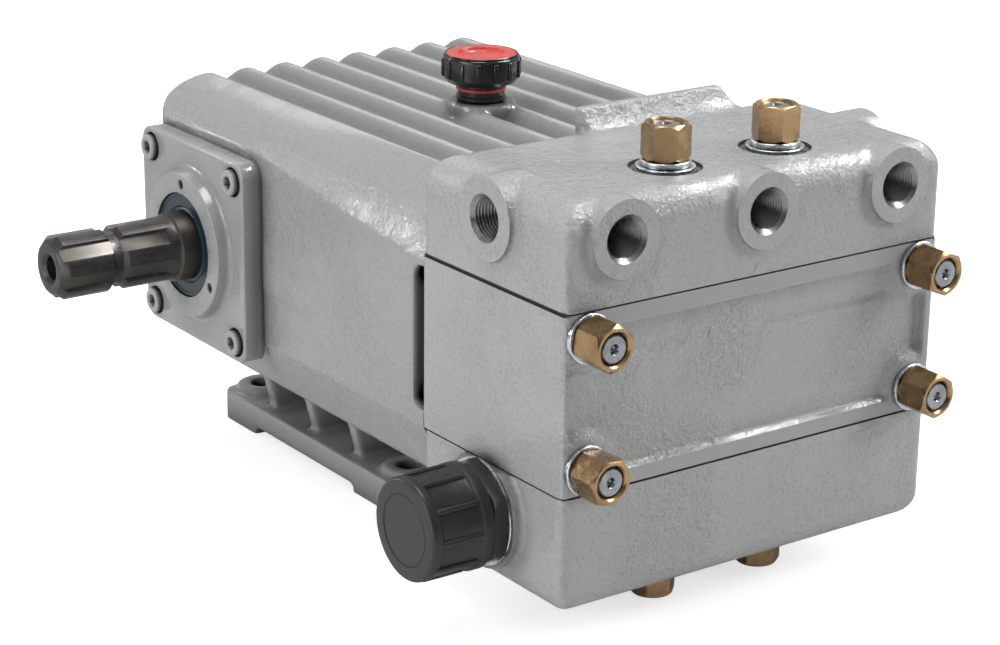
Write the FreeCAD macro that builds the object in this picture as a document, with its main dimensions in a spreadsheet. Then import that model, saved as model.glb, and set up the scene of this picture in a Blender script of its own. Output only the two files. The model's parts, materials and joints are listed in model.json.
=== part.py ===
import FreeCAD, Part
import os
import re
import Sketcher

# Three-cylinder piston pump, in millimetres.
# Frame: the floor under the feet is z = 0, the middle of the four foot holes is x = 0 and y = 0,
# the fluid end with its ports faces -Y, and the splined drive shaft points along -X.

SIZES = [
    ("head_width", 227.5, "fluid end, side to side"),
    ("head_depth", 115.0, "valve block, front to back"),
    ("block_base", 82.5, "underside of the valve block above the floor"),
    ("block_height", 87.5, "height of the valve block"),
    ("head_setback", 170.0, "back of the valve block ahead of the foot pattern's middle"),
    ("block_edge", 3.0, "rounding of the valve block's upright edges"),
    ("weld", 4.0, "cast features run this far into each other"),
    ("cut_margin", 1.0, "cuts run on this far past a surface"),
    ("drill_margin", 2.0, "tapped holes deeper than their screws"),
    ("gasket_thickness", 0.8, "flat gaskets above and below the valve block"),
    ("gasket_inset", 1.0, "gasket edge inside the castings' edge"),
    ("delivery_height", 49.2, "height of the delivery manifold"),
    ("delivery_gap", 0.6, "clearance of the manifolds in front of the crankcase"),
    ("delivery_round", 14.0, "rounding of the delivery manifold's top edges"),
    ("delivery_edge", 4.0, "rounding of the delivery manifold's upright edges"),
    ("web_left", -25.0, "left end of the raised web on the delivery manifold"),
    ("web_right", 71.0, "right end of the raised web"),
    ("web_rise", 11.0, "height of the web above the manifold's top"),
    ("web_crest", 6.0, "thickness of the web at its crest"),
    ("web_foot", 26.0, "depth of the web with its hollow fillet"),
    ("web_toe", 0.5, "front end of that fillet below the manifold's top"),
    ("port_pitch", 83.0, "spacing of the front delivery ports"),
    ("port_height", 202.0, "port axes above the floor"),
    ("port_radius", 9.5, "wall of a delivery port"),
    ("port_depth", 24.0, "depth of a delivery port ahead of its drill point"),
    ("port_chamfer", 2.0, "chamfer at a port's mouth"),
    ("port_boss", 18.4, "radius of a front port's boss"),
    ("side_boss", 20.0, "radius of a side port's boss"),
    ("side_port_depth", 59.0, "side port axis behind the front face"),
    ("boss_rise", 3.4, "port bosses proud of the wall"),
    ("boss_root", 20.0, "port bosses run this far into the wall"),
    ("suction_height", 59.2, "height of the suction manifold"),
    ("suction_round", 12.0, "rounding of the suction manifold's lower edges"),
    ("suction_edge", 5.0, "rounding of the suction manifold's upright edges"),
    ("suction_axis", 59.0, "suction port axis above the floor"),
    ("suction_setback", 57.5, "suction port axis behind the front face"),
    ("suction_boss", 28.0, "radius of the suction port's boss"),
    ("suction_boss_rise", 5.0, "suction boss proud of the wall"),
    ("suction_thread", 20.0, "radius of the suction port"),
    ("suction_thread_depth", 18.0, "depth of the suction port"),
    ("suction_washer_radius", 26.5, "sealing washer on the suction port"),
    ("suction_washer_thickness", 1.5, "thickness of that washer"),
    ("adapter_flats", 48.0, "suction adapter across flats"),
    ("adapter_hex", 7.5, "height of the adapter's hexagon"),
    ("adapter_spigot", 16.0, "adapter's thread into the manifold"),
    ("adapter_stub", 18.0, "adapter's thread under the cap"),
    ("adapter_bore", 14.0, "radius of the adapter's bore"),
    ("cap_radius", 25.3, "suction cap without its ribs"),
    ("cap_length", 34.0, "length of the suction cap"),
    ("cap_wall", 3.5, "wall of the suction cap"),
    ("cap_rib_rise", 1.6, "grip ribs proud of the cap"),
    ("cap_rib_width", 3.4, "width of a grip rib"),
    ("cap_rib_count", 10, "grip ribs round the cap"),
    ("stud_radius", 7.0, "all studs"),
    ("stud_clearance", 0.4, "stud holes round the studs"),
    ("nut_flats", 20.4, "brass nuts across flats"),
    ("nut_height", 17.6, "height of a brass nut"),
    ("nut_chamfer", 1.6, "chamfer at both ends of a nut"),
    ("nut_mouth", 1.2, "widening of a nut's bore at its outer end"),
    ("lock_washer_radius", 12.1, "lock washers under all the nuts"),
    ("lock_washer_thickness", 2.8, "lock washers"),
    ("washer_radius", 14.2, "flat washers of the upright studs"),
    ("washer_thickness", 1.8, "flat washers"),
    ("front_stud_x", 101.2, "front studs beside the mid-plane"),
    ("front_stud_low", 95.0, "lower front studs above the floor"),
    ("front_stud_high", 158.3, "upper front studs above the floor"),
    ("front_stud_bite", 24.0, "front studs into the crankcase"),
    ("stud_recess", 0.9, "stud ends inside the nuts"),
    ("through_stud_x", 33.5, "upright studs beside the mid-plane"),
    ("through_stud_setback", 32.4, "upright studs behind the front face"),
    ("spotface_radius", 18.0, "spot face under a top nut"),
    ("spotface_depth", 0.5, "depth of that spot face"),
    ("low_seat_radius", 17.0, "counterbore above a bottom nut"),
    ("low_seat_depth", 5.6, "depth of that counterbore"),
    ("panel_half", 95.0, "half width of the block's recessed front panel"),
    ("panel_margin_top", 11.0, "machined strip above the panel"),
    ("panel_margin_low", 9.0, "machined strip below the panel"),
    ("panel_depth", 1.6, "depth of the panel"),
    ("panel_clear", 18.0, "plain ring left round each front nut"),
    ("case_width", 225.5, "crankcase, side to side"),
    ("case_rear", 100.0, "rear wall behind the foot pattern's middle"),
    ("crest_height", 205.6, "fin crests above the floor"),
    ("fin_count", 8, "cooling fins along the top"),
    ("fin_pitch", 24.4, "spacing of the fins"),
    ("fin_depth", 9.0, "depth of the valleys between fins"),
    ("crest_half", 3.5, "half width of a rounded crest"),
    ("crest_drop", 1.8, "fall of a crest to its flanks"),
    ("valley_half", 5.5, "half width of a rounded valley"),
    ("valley_rise", 2.6, "rise of a valley to its flanks"),
    ("shoulder_front_drop", 41.5, "upper edge of the side wall below the crests, at the front"),
    ("shoulder_middle_drop", 21.0, "the same edge where its slope ends"),
    ("shoulder_rear_drop", 22.6, "the same edge at the rear"),
    ("shoulder_bend", -18.0, "place along the pump where the edge's slope ends"),
    ("shoulder_bulge", 3.5, "swell of the shoulder"),
    ("crease_height", 81.5, "where the side wall starts to draw in"),
    ("belly_half", 94.0, "half width at the lower edge"),
    ("belly_height", 46.0, "lower edge above the floor"),
    ("belly_round", 7.0, "rounding of the lower edge"),
    ("rear_round", 12.0, "rounding of the upright rear corners"),
    ("crown_round", 18.0, "rounding of the top's rear end"),
    ("sump_half", 44.0, "half width of the sump"),
    ("sump_front", -150.0, "front wall of the sump"),
    ("sump_rear", 92.0, "rear wall of the sump"),
    ("sump_base", 8.0, "sump floor above the ground"),
    ("window_depth", 8.6, "drip window behind the valve block"),
    ("window_low", 90.0, "lower end of the drip window"),
    ("window_high", 163.0, "upper end of the drip window"),
    ("window_reach", 40.0, "drip window into the casting"),
    ("window_round", 5.0, "rounding of the drip window"),
    ("crank_offset", 37.5, "crank axis behind the foot pattern's middle"),
    ("crank_height", 125.0, "crank axis above the floor"),
    ("foot_spacing_x", 120.0, "foot holes across"),
    ("foot_spacing_y", 154.5, "foot holes along"),
    ("foot_hole", 6.75, "radius of a foot hole"),
    ("foot_boss", 14.5, "radius of a foot boss"),
    ("foot_boss_height", 20.5, "top of a foot boss above the floor"),
    ("rail_outer", 80.0, "outer face of a foot rail beside the mid-plane"),
    ("rail_front", -112.0, "front end of a foot rail"),
    ("rail_rear", 91.0, "rear end of a foot rail"),
    ("rail_height", 16.8, "top of a foot rail above the floor"),
    ("rail_round", 9.0, "rounding of a rail's corners"),
    ("pad_start", 51.5, "foot pads begin this far from the middle"),
    ("recess_height", 3.5, "clearance under a rail between its pads"),
    ("rib_pitch", 45.0, "spacing of the ribs over a rail"),
    ("rib_width", 8.0, "thickness of a rib"),
    ("rib_reach", 72.0, "foot of a rib beside the mid-plane"),
    ("side_pad_length", 56.0, "raised pad on the side wall, ahead of the cover"),
    ("side_pad_height", 25.0, "height of that pad"),
    ("side_pad_axis", 123.5, "middle of that pad above the floor"),
    ("side_pad_rise", 1.0, "pad proud of the wall"),
    ("filler_y", -55.5, "oil filler axis ahead of the foot pattern's middle"),
    ("filler_boss_radius", 18.5, "cast boss under the filler"),
    ("filler_boss_rise", 2.4, "top of that boss above the fin crests"),
    ("neck_radius", 13.5, "filler neck"),
    ("neck_thread", 11.5, "radius of the neck's thread in the boss"),
    ("neck_height", 9.8, "filler neck under the cap"),
    ("neck_bite", 8.0, "filler neck's thread in the boss"),
    ("filler_cap_radius", 21.4, "filler cap"),
    ("filler_cap_height", 15.4, "height of the filler cap"),
    ("filler_cap_round", 1.2, "rounding of the filler cap's rims"),
    ("insert_radius", 18.7, "coloured disc in the filler cap"),
    ("insert_depth", 3.0, "thickness of that disc"),
    ("insert_dish", 1.2, "dished middle of the disc"),
    ("insert_dish_radius", 11.5, "radius of the dished middle"),
    ("cover_side", 110.0, "bearing cover, square"),
    ("cover_thickness", 12.0, "bearing cover plate"),
    ("cover_corner", 12.0, "rounding of the cover's corners"),
    ("cover_edge", 1.5, "rounding of the cover's outer edge"),
    ("cover_screw_square", 88.7, "square of the cover's screws"),
    ("cover_boss", 38.5, "radius of the cover's boss"),
    ("cover_boss_rise", 6.7, "boss proud of the plate"),
    ("cover_boss_foot", 46.0, "radius of the boss's cone at the plate"),
    ("cover_boss_step", 1.5, "widening of the boss down to its cone"),
    ("seal_radius", 28.7, "seal seat in the cover"),
    ("seal_width", 10.0, "width of the oil seal"),
    ("seal_recess", 1.0, "seal behind the boss's face"),
    ("seal_fit", 0.05, "clearance of the seal in its seat"),
    ("cover_bore", 24.0, "cover's bore behind the seal"),
    ("puller_circle", 33.6, "small holes in the boss's face"),
    ("puller_radius", 2.6, "radius of a small hole"),
    ("puller_depth", 5.0, "depth of a small hole"),
    ("puller_turn", 40.0, "turn of the first small hole, in degrees"),
    ("blind_boss_rise", 3.0, "boss of the closed cover"),
    ("screw_head_radius", 8.0, "cover screws"),
    ("screw_head_height", 10.0, "cover screws"),
    ("screw_radius", 5.0, "shank of a cover screw"),
    ("screw_bite", 16.0, "cover screws into the crankcase"),
    ("screw_socket", 8.0, "socket across flats"),
    ("screw_socket_depth", 5.0, "depth of the socket"),
    ("screw_sink", 6.7, "counterbore of a cover screw"),
    ("screw_clearance", 0.5, "counterbore round a screw head"),
    ("shaft_radius", 17.4, "splined end over its teeth"),
    ("shaft_tip", 210.3, "shaft tip beside the mid-plane"),
    ("spline_length", 62.0, "length of the teeth"),
    ("spline_root", 14.8, "radius between the teeth"),
    ("spline_tooth", 8.6, "width of a tooth"),
    ("spline_count", 6, "teeth round the shaft"),
    ("journal_radius", 18.75, "plain shaft in the seal and bearing"),
    ("journal_fit", 0.05, "running clearance of the shaft"),
    ("journal_step", 1.5, "length of the cone behind the teeth"),
    ("journal_end", 76.0, "inner end of the shaft beside the mid-plane"),
    ("shaft_end_gap", 1.0, "end clearance of the shaft in its bearing"),
    ("tip_chamfer", 4.0, "chamfer of the shaft's tip"),
    ("groove_position", 34.0, "locking groove behind the tip"),
    ("groove_width", 8.0, "bottom width of the locking groove"),
    ("groove_radius", 14.7, "radius at the bottom of the groove"),
    ("centre_bore", 6.5, "hole in the shaft's tip"),
    ("centre_depth", 25.0, "depth of that hole"),
    ("centre_chamfer", 1.2, "chamfer at its mouth"),
    ("rear_cover_width", 168.0, "rear cover across"),
    ("rear_cover_height", 88.0, "rear cover, bottom to top"),
    ("rear_cover_axis", 128.0, "middle of the rear cover above the floor"),
    ("rear_cover_thickness", 8.0, "rear cover plate"),
    ("rear_cover_corner", 14.0, "rounding of its corners"),
    ("rear_screw_margin", 11.0, "rear screws inside the cover's edge"),
    ("rear_screw_radius", 6.5, "head of a rear screw"),
    ("rear_screw_height", 8.0, "head of a rear screw"),
    ("rear_shank_radius", 4.0, "shank of a rear screw"),
    ("rear_screw_bite", 14.0, "rear screws into the crankcase"),
    ("glass_radius", 11.0, "oil sight glass"),
    ("glass_rim", 15.0, "rim of the sight glass"),
    ("glass_rise", 5.0, "rim proud of the rear cover"),
    ("glass_seat", 3.0, "depth of the lens's seat"),
    ("glass_sunk", 0.6, "lens behind the rim's face"),
    ("drain_height", 27.0, "drain plug above the floor"),
    ("drain_flats", 22.0, "drain plug across flats"),
    ("drain_head", 8.0, "head of the drain plug"),
    ("drain_thread", 9.0, "radius of the drain plug's thread"),
    ("drain_bite", 12.0, "drain plug into the sump"),
    ("thread_clearance", 0.1, "tapped holes round plugs, screws and studs"),
]

doc = FreeCAD.newDocument("piston_pump")
sheet = doc.addObject("Spreadsheet::Sheet", "Sizes")
for row, (alias, number, note) in enumerate(SIZES, start=1):
    sheet.set("A%d" % row, alias)
    sheet.set("B%d" % row, str(number))
    sheet.set("C%d" % row, note)
    sheet.setAlias("B%d" % row, alias)
doc.recompute()

ALIASES = {alias for alias, number, note in SIZES}
PLANES = {"top": "XY_Plane", "front": "XZ_Plane", "side": "YZ_Plane"}
FACING = {
    "up": FreeCAD.Rotation(),
    "down": FreeCAD.Rotation(FreeCAD.Vector(1, 0, 0), 180),
    "left": FreeCAD.Rotation(FreeCAD.Vector(0, 1, 0), -90),
    "right": FreeCAD.Rotation(FreeCAD.Vector(0, 1, 0), 90),
    "forward": FreeCAD.Rotation(FreeCAD.Vector(1, 0, 0), 90),
    "back": FreeCAD.Rotation(FreeCAD.Vector(1, 0, 0), -90),
}
SIDES = {"left": "-1", "right": "1"}
subparts = []


def tied(formula):
    """A formula on size names, written for the sheet's cells."""
    return re.sub(r"[a-z][a-z0-9_]*",
                  lambda word: "Sizes." + word.group() if word.group() in ALIASES else word.group(),
                  str(formula))


def size(formula):
    """The value of a formula on size names."""
    return float(sheet.evalExpression(tied(formula)))


def bind(thing, **formulas):
    for name, formula in formulas.items():
        thing.setExpression(name, tied(formula))
    return thing


def finish(thing, label):
    """Names a finished sub-part."""
    thing.Label = label
    subparts.append(thing)
    return thing


# Features of a casting or a turned piece.

def new_body(name):
    return doc.addObject("PartDesign::Body", "Body_" + name)


def new_sketch(body, view, offset="0", across="0", up="0"):
    """A sketch on one of the body's own planes, moved along its normal, with its origin shifted."""
    sketch = body.newObject("Sketcher::SketchObject", "Sketch")
    plane = [item for item in body.Origin.OriginFeatures if item.Role == PLANES[view]][0]
    sketch.AttachmentSupport = (plane, [""])
    sketch.MapMode = "FlatFace"
    return bind(sketch, **{"AttachmentOffset.Base.x": across, "AttachmentOffset.Base.y": up,
                           "AttachmentOffset.Base.z": offset})


def place(sketch, element, point, across, up):
    """Ties a point of the sketch to two formulas."""
    for kind, formula in (("DistanceX", across), ("DistanceY", up)):
        number = sketch.addConstraint(Sketcher.Constraint(kind, -1, 1, element, point, size(formula)))
        sketch.setExpression("Constraints[%d]" % number, tied(formula))


def outline(sketch, corners):
    """A closed outline. A corner with four formulas starts an arc through its second point."""
    points = [FreeCAD.Vector(size(corner[0]), size(corner[1]), 0) for corner in corners]
    edges = []
    for corner, start, end in zip(corners, points, points[1:] + points[:1]):
        if len(corner) == 2:
            edges.append((sketch.addGeometry(Part.LineSegment(start, end), False), 1, 2))
            continue
        middle = FreeCAD.Vector(size(corner[2]), size(corner[3]), 0)
        arc = sketch.addGeometry(Part.Arc(start, middle, end), False)
        forward = (sketch.getPoint(arc, 1) - start).Length < (sketch.getPoint(arc, 2) - start).Length
        edges.append((arc, 1, 2) if forward else (arc, 2, 1))
        guide = sketch.addGeometry(Part.Point(middle), True)
        place(sketch, guide, 1, corner[2], corner[3])
        sketch.addConstraint(Sketcher.Constraint("PointOnObject", guide, 1, arc))
    for before, edge, corner in zip(edges[-1:] + edges[:-1], edges, corners):
        sketch.addConstraint(Sketcher.Constraint("Coincident", before[0], before[2], edge[0], edge[1]))
        place(sketch, edge[0], edge[1], corner[0], corner[1])


def rectangle(sketch, low_across, high_across, low_up, high_up):
    outline(sketch, [(low_across, low_up), (high_across, low_up),
                     (high_across, high_up), (low_across, high_up)])


def circle(sketch, across, up, radius):
    centre = FreeCAD.Vector(size(across), size(up), 0)
    ring = sketch.addGeometry(Part.Circle(centre, FreeCAD.Vector(0, 0, 1), size(radius)), False)
    place(sketch, ring, 3, across, up)
    number = sketch.addConstraint(Sketcher.Constraint("Radius", ring, size(radius)))
    sketch.setExpression("Constraints[%d]" % number, tied(radius))


def solid_volume(body):
    doc.recompute()
    return body.Tip.Shape.Volume


def pad(body, sketch, length, backwards=False):
    feature = body.newObject("PartDesign::Pad", "Pad")
    feature.Profile = sketch
    feature.Reversed = backwards
    bind(feature, Length=length)
    return feature


def pocket(body, sketch, length, backwards=False):
    """A cut against the sketch's normal, or along it, that has to remove something."""
    before = solid_volume(body)
    feature = body.newObject("PartDesign::Pocket", "Pocket")
    feature.Profile = sketch
    feature.Reversed = backwards
    bind(feature, Length=length)
    if not solid_volume(body) < before:
        raise ValueError(body.Name + ": a pocket cuts nothing")
    return feature


def drill(body, sketch, radius, depth, chamfer, backwards=False):
    """Holes with a drill point and a chamfered mouth at the circles of a sketch."""
    before = solid_volume(body)
    feature = body.newObject("PartDesign::Hole", "Hole")
    feature.Profile = sketch
    feature.Reversed = backwards
    feature.DepthType = "Dimension"
    feature.DrillPoint = "Angled"
    feature.HoleCutType = "Countersink"
    feature.HoleCutCustomValues = True
    bind(feature, Diameter="2 * %s" % radius, Depth=depth,
         HoleCutDiameter="2 * (%s + %s)" % (radius, chamfer))
    feature.HoleCutCountersinkAngle = 90
    if not solid_volume(body) < before:
        raise ValueError(body.Name + ": a hole cuts nothing")
    return feature


def edges_where(shape, test):
    return ["Edge%d" % number for number, edge in enumerate(shape.Edges, start=1) if test(edge)]


def soften(body, radius, test, kind="Fillet"):
    """A fillet or chamfer on the edges that pass the test."""
    doc.recompute()
    base = body.Tip
    chosen = edges_where(base.Shape, test)
    if not chosen:
        raise ValueError(body.Name + ": no edge to soften")
    feature = body.newObject("PartDesign::" + kind, kind)
    feature.Base = (base, chosen)
    bind(feature, **{"Radius" if kind == "Fillet" else "Size": radius})
    return feature


def revolve(body, sketch):
    """Turns a half section about the sketch's own horizontal axis."""
    feature = body.newObject("PartDesign::Revolution", "Turned")
    feature.Profile = sketch
    feature.ReferenceAxis = (sketch, ["H_Axis"])
    feature.Angle = 360
    return feature


def repeat_round(body, feature, axis, count):
    """Copies a feature round an axis of a sketch."""
    doc.recompute()
    turn = body.newObject("PartDesign::PolarPattern", "Pattern")
    turn.Originals = [feature]
    turn.Axis = axis
    turn.Angle = 360
    bind(turn, Occurrences=count)
    body.Tip = turn
    doc.recompute()
    return turn


def near(first, second):
    return abs(first - second) < 0.01


def runs_along(edge, axis):
    """True for a straight edge along an axis."""
    if edge.Degenerated or edge.Curve.TypeId != "Part::GeomLine":
        return False
    return abs(edge.Curve.Direction.dot(axis)) > 0.999


def is_ring(edge, radius):
    """True for a round edge of that radius."""
    if edge.Degenerated or edge.Curve.TypeId != "Part::GeomCircle":
        return False
    return near(edge.Curve.Radius, radius)


def flat_at(edge, axis, place_on_axis):
    """True for an edge that lies wholly in the plane at a place on an axis."""
    box = edge.BoundBox
    low, high = {"x": (box.XMin, box.XMax), "y": (box.YMin, box.YMax), "z": (box.ZMin, box.ZMax)}[axis]
    return near(low, place_on_axis) and near(high, place_on_axis)


UP = FreeCAD.Vector(0, 0, 1)


# Plain solids and what is made from them.

def stand(solid, facing, x, y, z):
    solid.Placement = FreeCAD.Placement(FreeCAD.Vector(), FACING[facing])
    bind(solid, **{"Placement.Base.x": x, "Placement.Base.y": y, "Placement.Base.z": z})
    return solid


def cylinder(radius, height, facing, x, y, z):
    solid = bind(doc.addObject("Part::Cylinder", "Cylinder"), Radius=radius, Height=height)
    return stand(solid, facing, x, y, z)


def cone(low_radius, high_radius, height, facing, x, y, z):
    solid = bind(doc.addObject("Part::Cone", "Cone"), Radius1=low_radius, Radius2=high_radius, Height=height)
    return stand(solid, facing, x, y, z)


def box(length, width, height, x, y, z):
    solid = bind(doc.addObject("Part::Box", "Box"), Length=length, Width=width, Height=height)
    return stand(solid, "up", x, y, z)


def hexagon(flats, height, facing, x, y, z):
    solid = doc.addObject("Part::Prism", "Hexagon")
    solid.Polygon = 6
    bind(solid, Circumradius="(%s) / sqrt(3)" % flats, Height=height)
    return stand(solid, facing, x, y, z)


def cut(base, *tools):
    for tool in tools:
        result = doc.addObject("Part::Cut", "Cut")
        result.Base = base
        result.Tool = tool
        base = result
    return base


def fuse(*solids):
    result = doc.addObject("Part::MultiFuse", "Fuse")
    result.Shapes = list(solids)
    return result


def common(first, second):
    result = doc.addObject("Part::Common", "Common")
    result.Base = first
    result.Tool = second
    return result


def together(*solids):
    """Like pieces that share a sub-part without touching."""
    result = doc.addObject("Part::Compound", "Set")
    result.Links = list(solids)
    return result


# Places that several pieces share.
HEAD_BACK = "(-head_setback)"
HEAD_FRONT = "(-head_setback - head_depth)"
BLOCK_TOP = "(block_base + block_height)"
DELIVERY_BASE = "(block_base + block_height + gasket_thickness)"
DELIVERY_TOP = "(block_base + block_height + gasket_thickness + delivery_height)"
SUCTION_TOP = "(block_base - gasket_thickness)"
SUCTION_BASE = "(block_base - gasket_thickness - suction_height)"
MANIFOLD_BACK = "(-head_setback - delivery_gap)"
THROUGH_Y = "(-head_setback - head_depth + through_stud_setback)"
TOP_SEAT = "(block_base + block_height + gasket_thickness + delivery_height - spotface_depth)"
LOW_SEAT = "(block_base - gasket_thickness - suction_height + low_seat_depth)"
STUD_HOLE = "(stud_radius + stud_clearance)"
COVER_FACE = "(case_width / 2 + cover_thickness)"
FINS_HALF = "((fin_count - 1) * fin_pitch / 2)"
FILLER_BASE = "(crest_height + filler_boss_rise)"
FRONT_STUDS = [(side, height) for side in SIDES.values() for height in ("front_stud_low", "front_stud_high")]
COVER_SCREWS = [(along, up) for along in SIDES.values() for up in SIDES.values()]
FOOT_CORNERS = [(across, along) for across in SIDES.values() for along in SIDES.values()]
REAR_SCREWS = [(across, up) for across in ("-1", "0", "1") for up in ("-1", "1")]


def screw_y(along):
    return "crank_offset + %s * cover_screw_square / 2" % along


def screw_z(up):
    return "crank_height + %s * cover_screw_square / 2" % up


def rear_x(across):
    return "%s * (rear_cover_width / 2 - rear_screw_margin)" % across


def rear_z(up):
    return "rear_cover_axis + %s * (rear_cover_height / 2 - rear_screw_margin)" % up


def case_section(sketch, shoulder):
    """The crankcase's section across the pump, with its swelling shoulders and drawn-in belly."""
    bulge_x = "((case_width / 2 + %s) / 2 + shoulder_bulge * 0.8)" % FINS_HALF
    bulge_z = "((%s + crest_height) / 2 + shoulder_bulge * 0.6)" % shoulder
    run = "(case_width / 2 - belly_half)"
    rise = "(crease_height - belly_height)"
    slant = "sqrt(%s ^ 2 + %s ^ 2)" % (run, rise)
    inner = "(belly_half - belly_round)"
    outer = "(belly_half + belly_round * %s / %s)" % (run, slant)
    outer_z = "(belly_height + belly_round * %s / %s)" % (rise, slant)
    turn = "((%s + 2 * belly_half + %s) / 4)" % (inner, outer)
    turn_z = "((3 * belly_height + %s) / 4)" % outer_z
    outline(sketch, [
        ("-" + inner, "belly_height"),
        (inner, "belly_height", turn, turn_z),
        (outer, outer_z),
        ("case_width / 2", "crease_height"),
        ("case_width / 2", shoulder, bulge_x, bulge_z),
        (FINS_HALF, "crest_height"),
        ("-" + FINS_HALF, "crest_height", "-" + bulge_x, bulge_z),
        ("-case_width / 2", shoulder),
        ("-case_width / 2", "crease_height"),
        ("-" + outer, outer_z, "-" + turn, turn_z),
    ])


def fin_wave(sketch):
    """The air between the fins: rounded crests and rounded valleys, one after the other."""
    count = int(size("fin_count"))
    flank_top = "crest_height - crest_drop"
    flank_foot = "crest_height - fin_depth + valley_rise"
    points = []
    for number in range(count):
        crest = "(%d * fin_pitch - %s)" % (number, FINS_HALF)
        if number == 0:
            points.append((crest, "crest_height",
                           crest + " + crest_half / 2", "crest_height - crest_drop / 4"))
        elif number == count - 1:
            points.append((crest + " - crest_half", flank_top,
                           crest + " - crest_half / 2", "crest_height - crest_drop / 4"))
            points.append((crest, "crest_height"))
            continue
        else:
            points.append((crest + " - crest_half", flank_top, crest, "crest_height"))
        points.append((crest + " + crest_half", flank_top))
        points.append((crest + " + fin_pitch / 2 - valley_half", flank_foot,
                       crest + " + fin_pitch / 2", "crest_height - fin_depth"))
        points.append((crest + " + fin_pitch / 2 + valley_half", flank_foot))
    points.append((FINS_HALF, "crest_height + fin_depth"))
    points.append(("-" + FINS_HALF, "crest_height + fin_depth"))
    outline(sketch, points)


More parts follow.
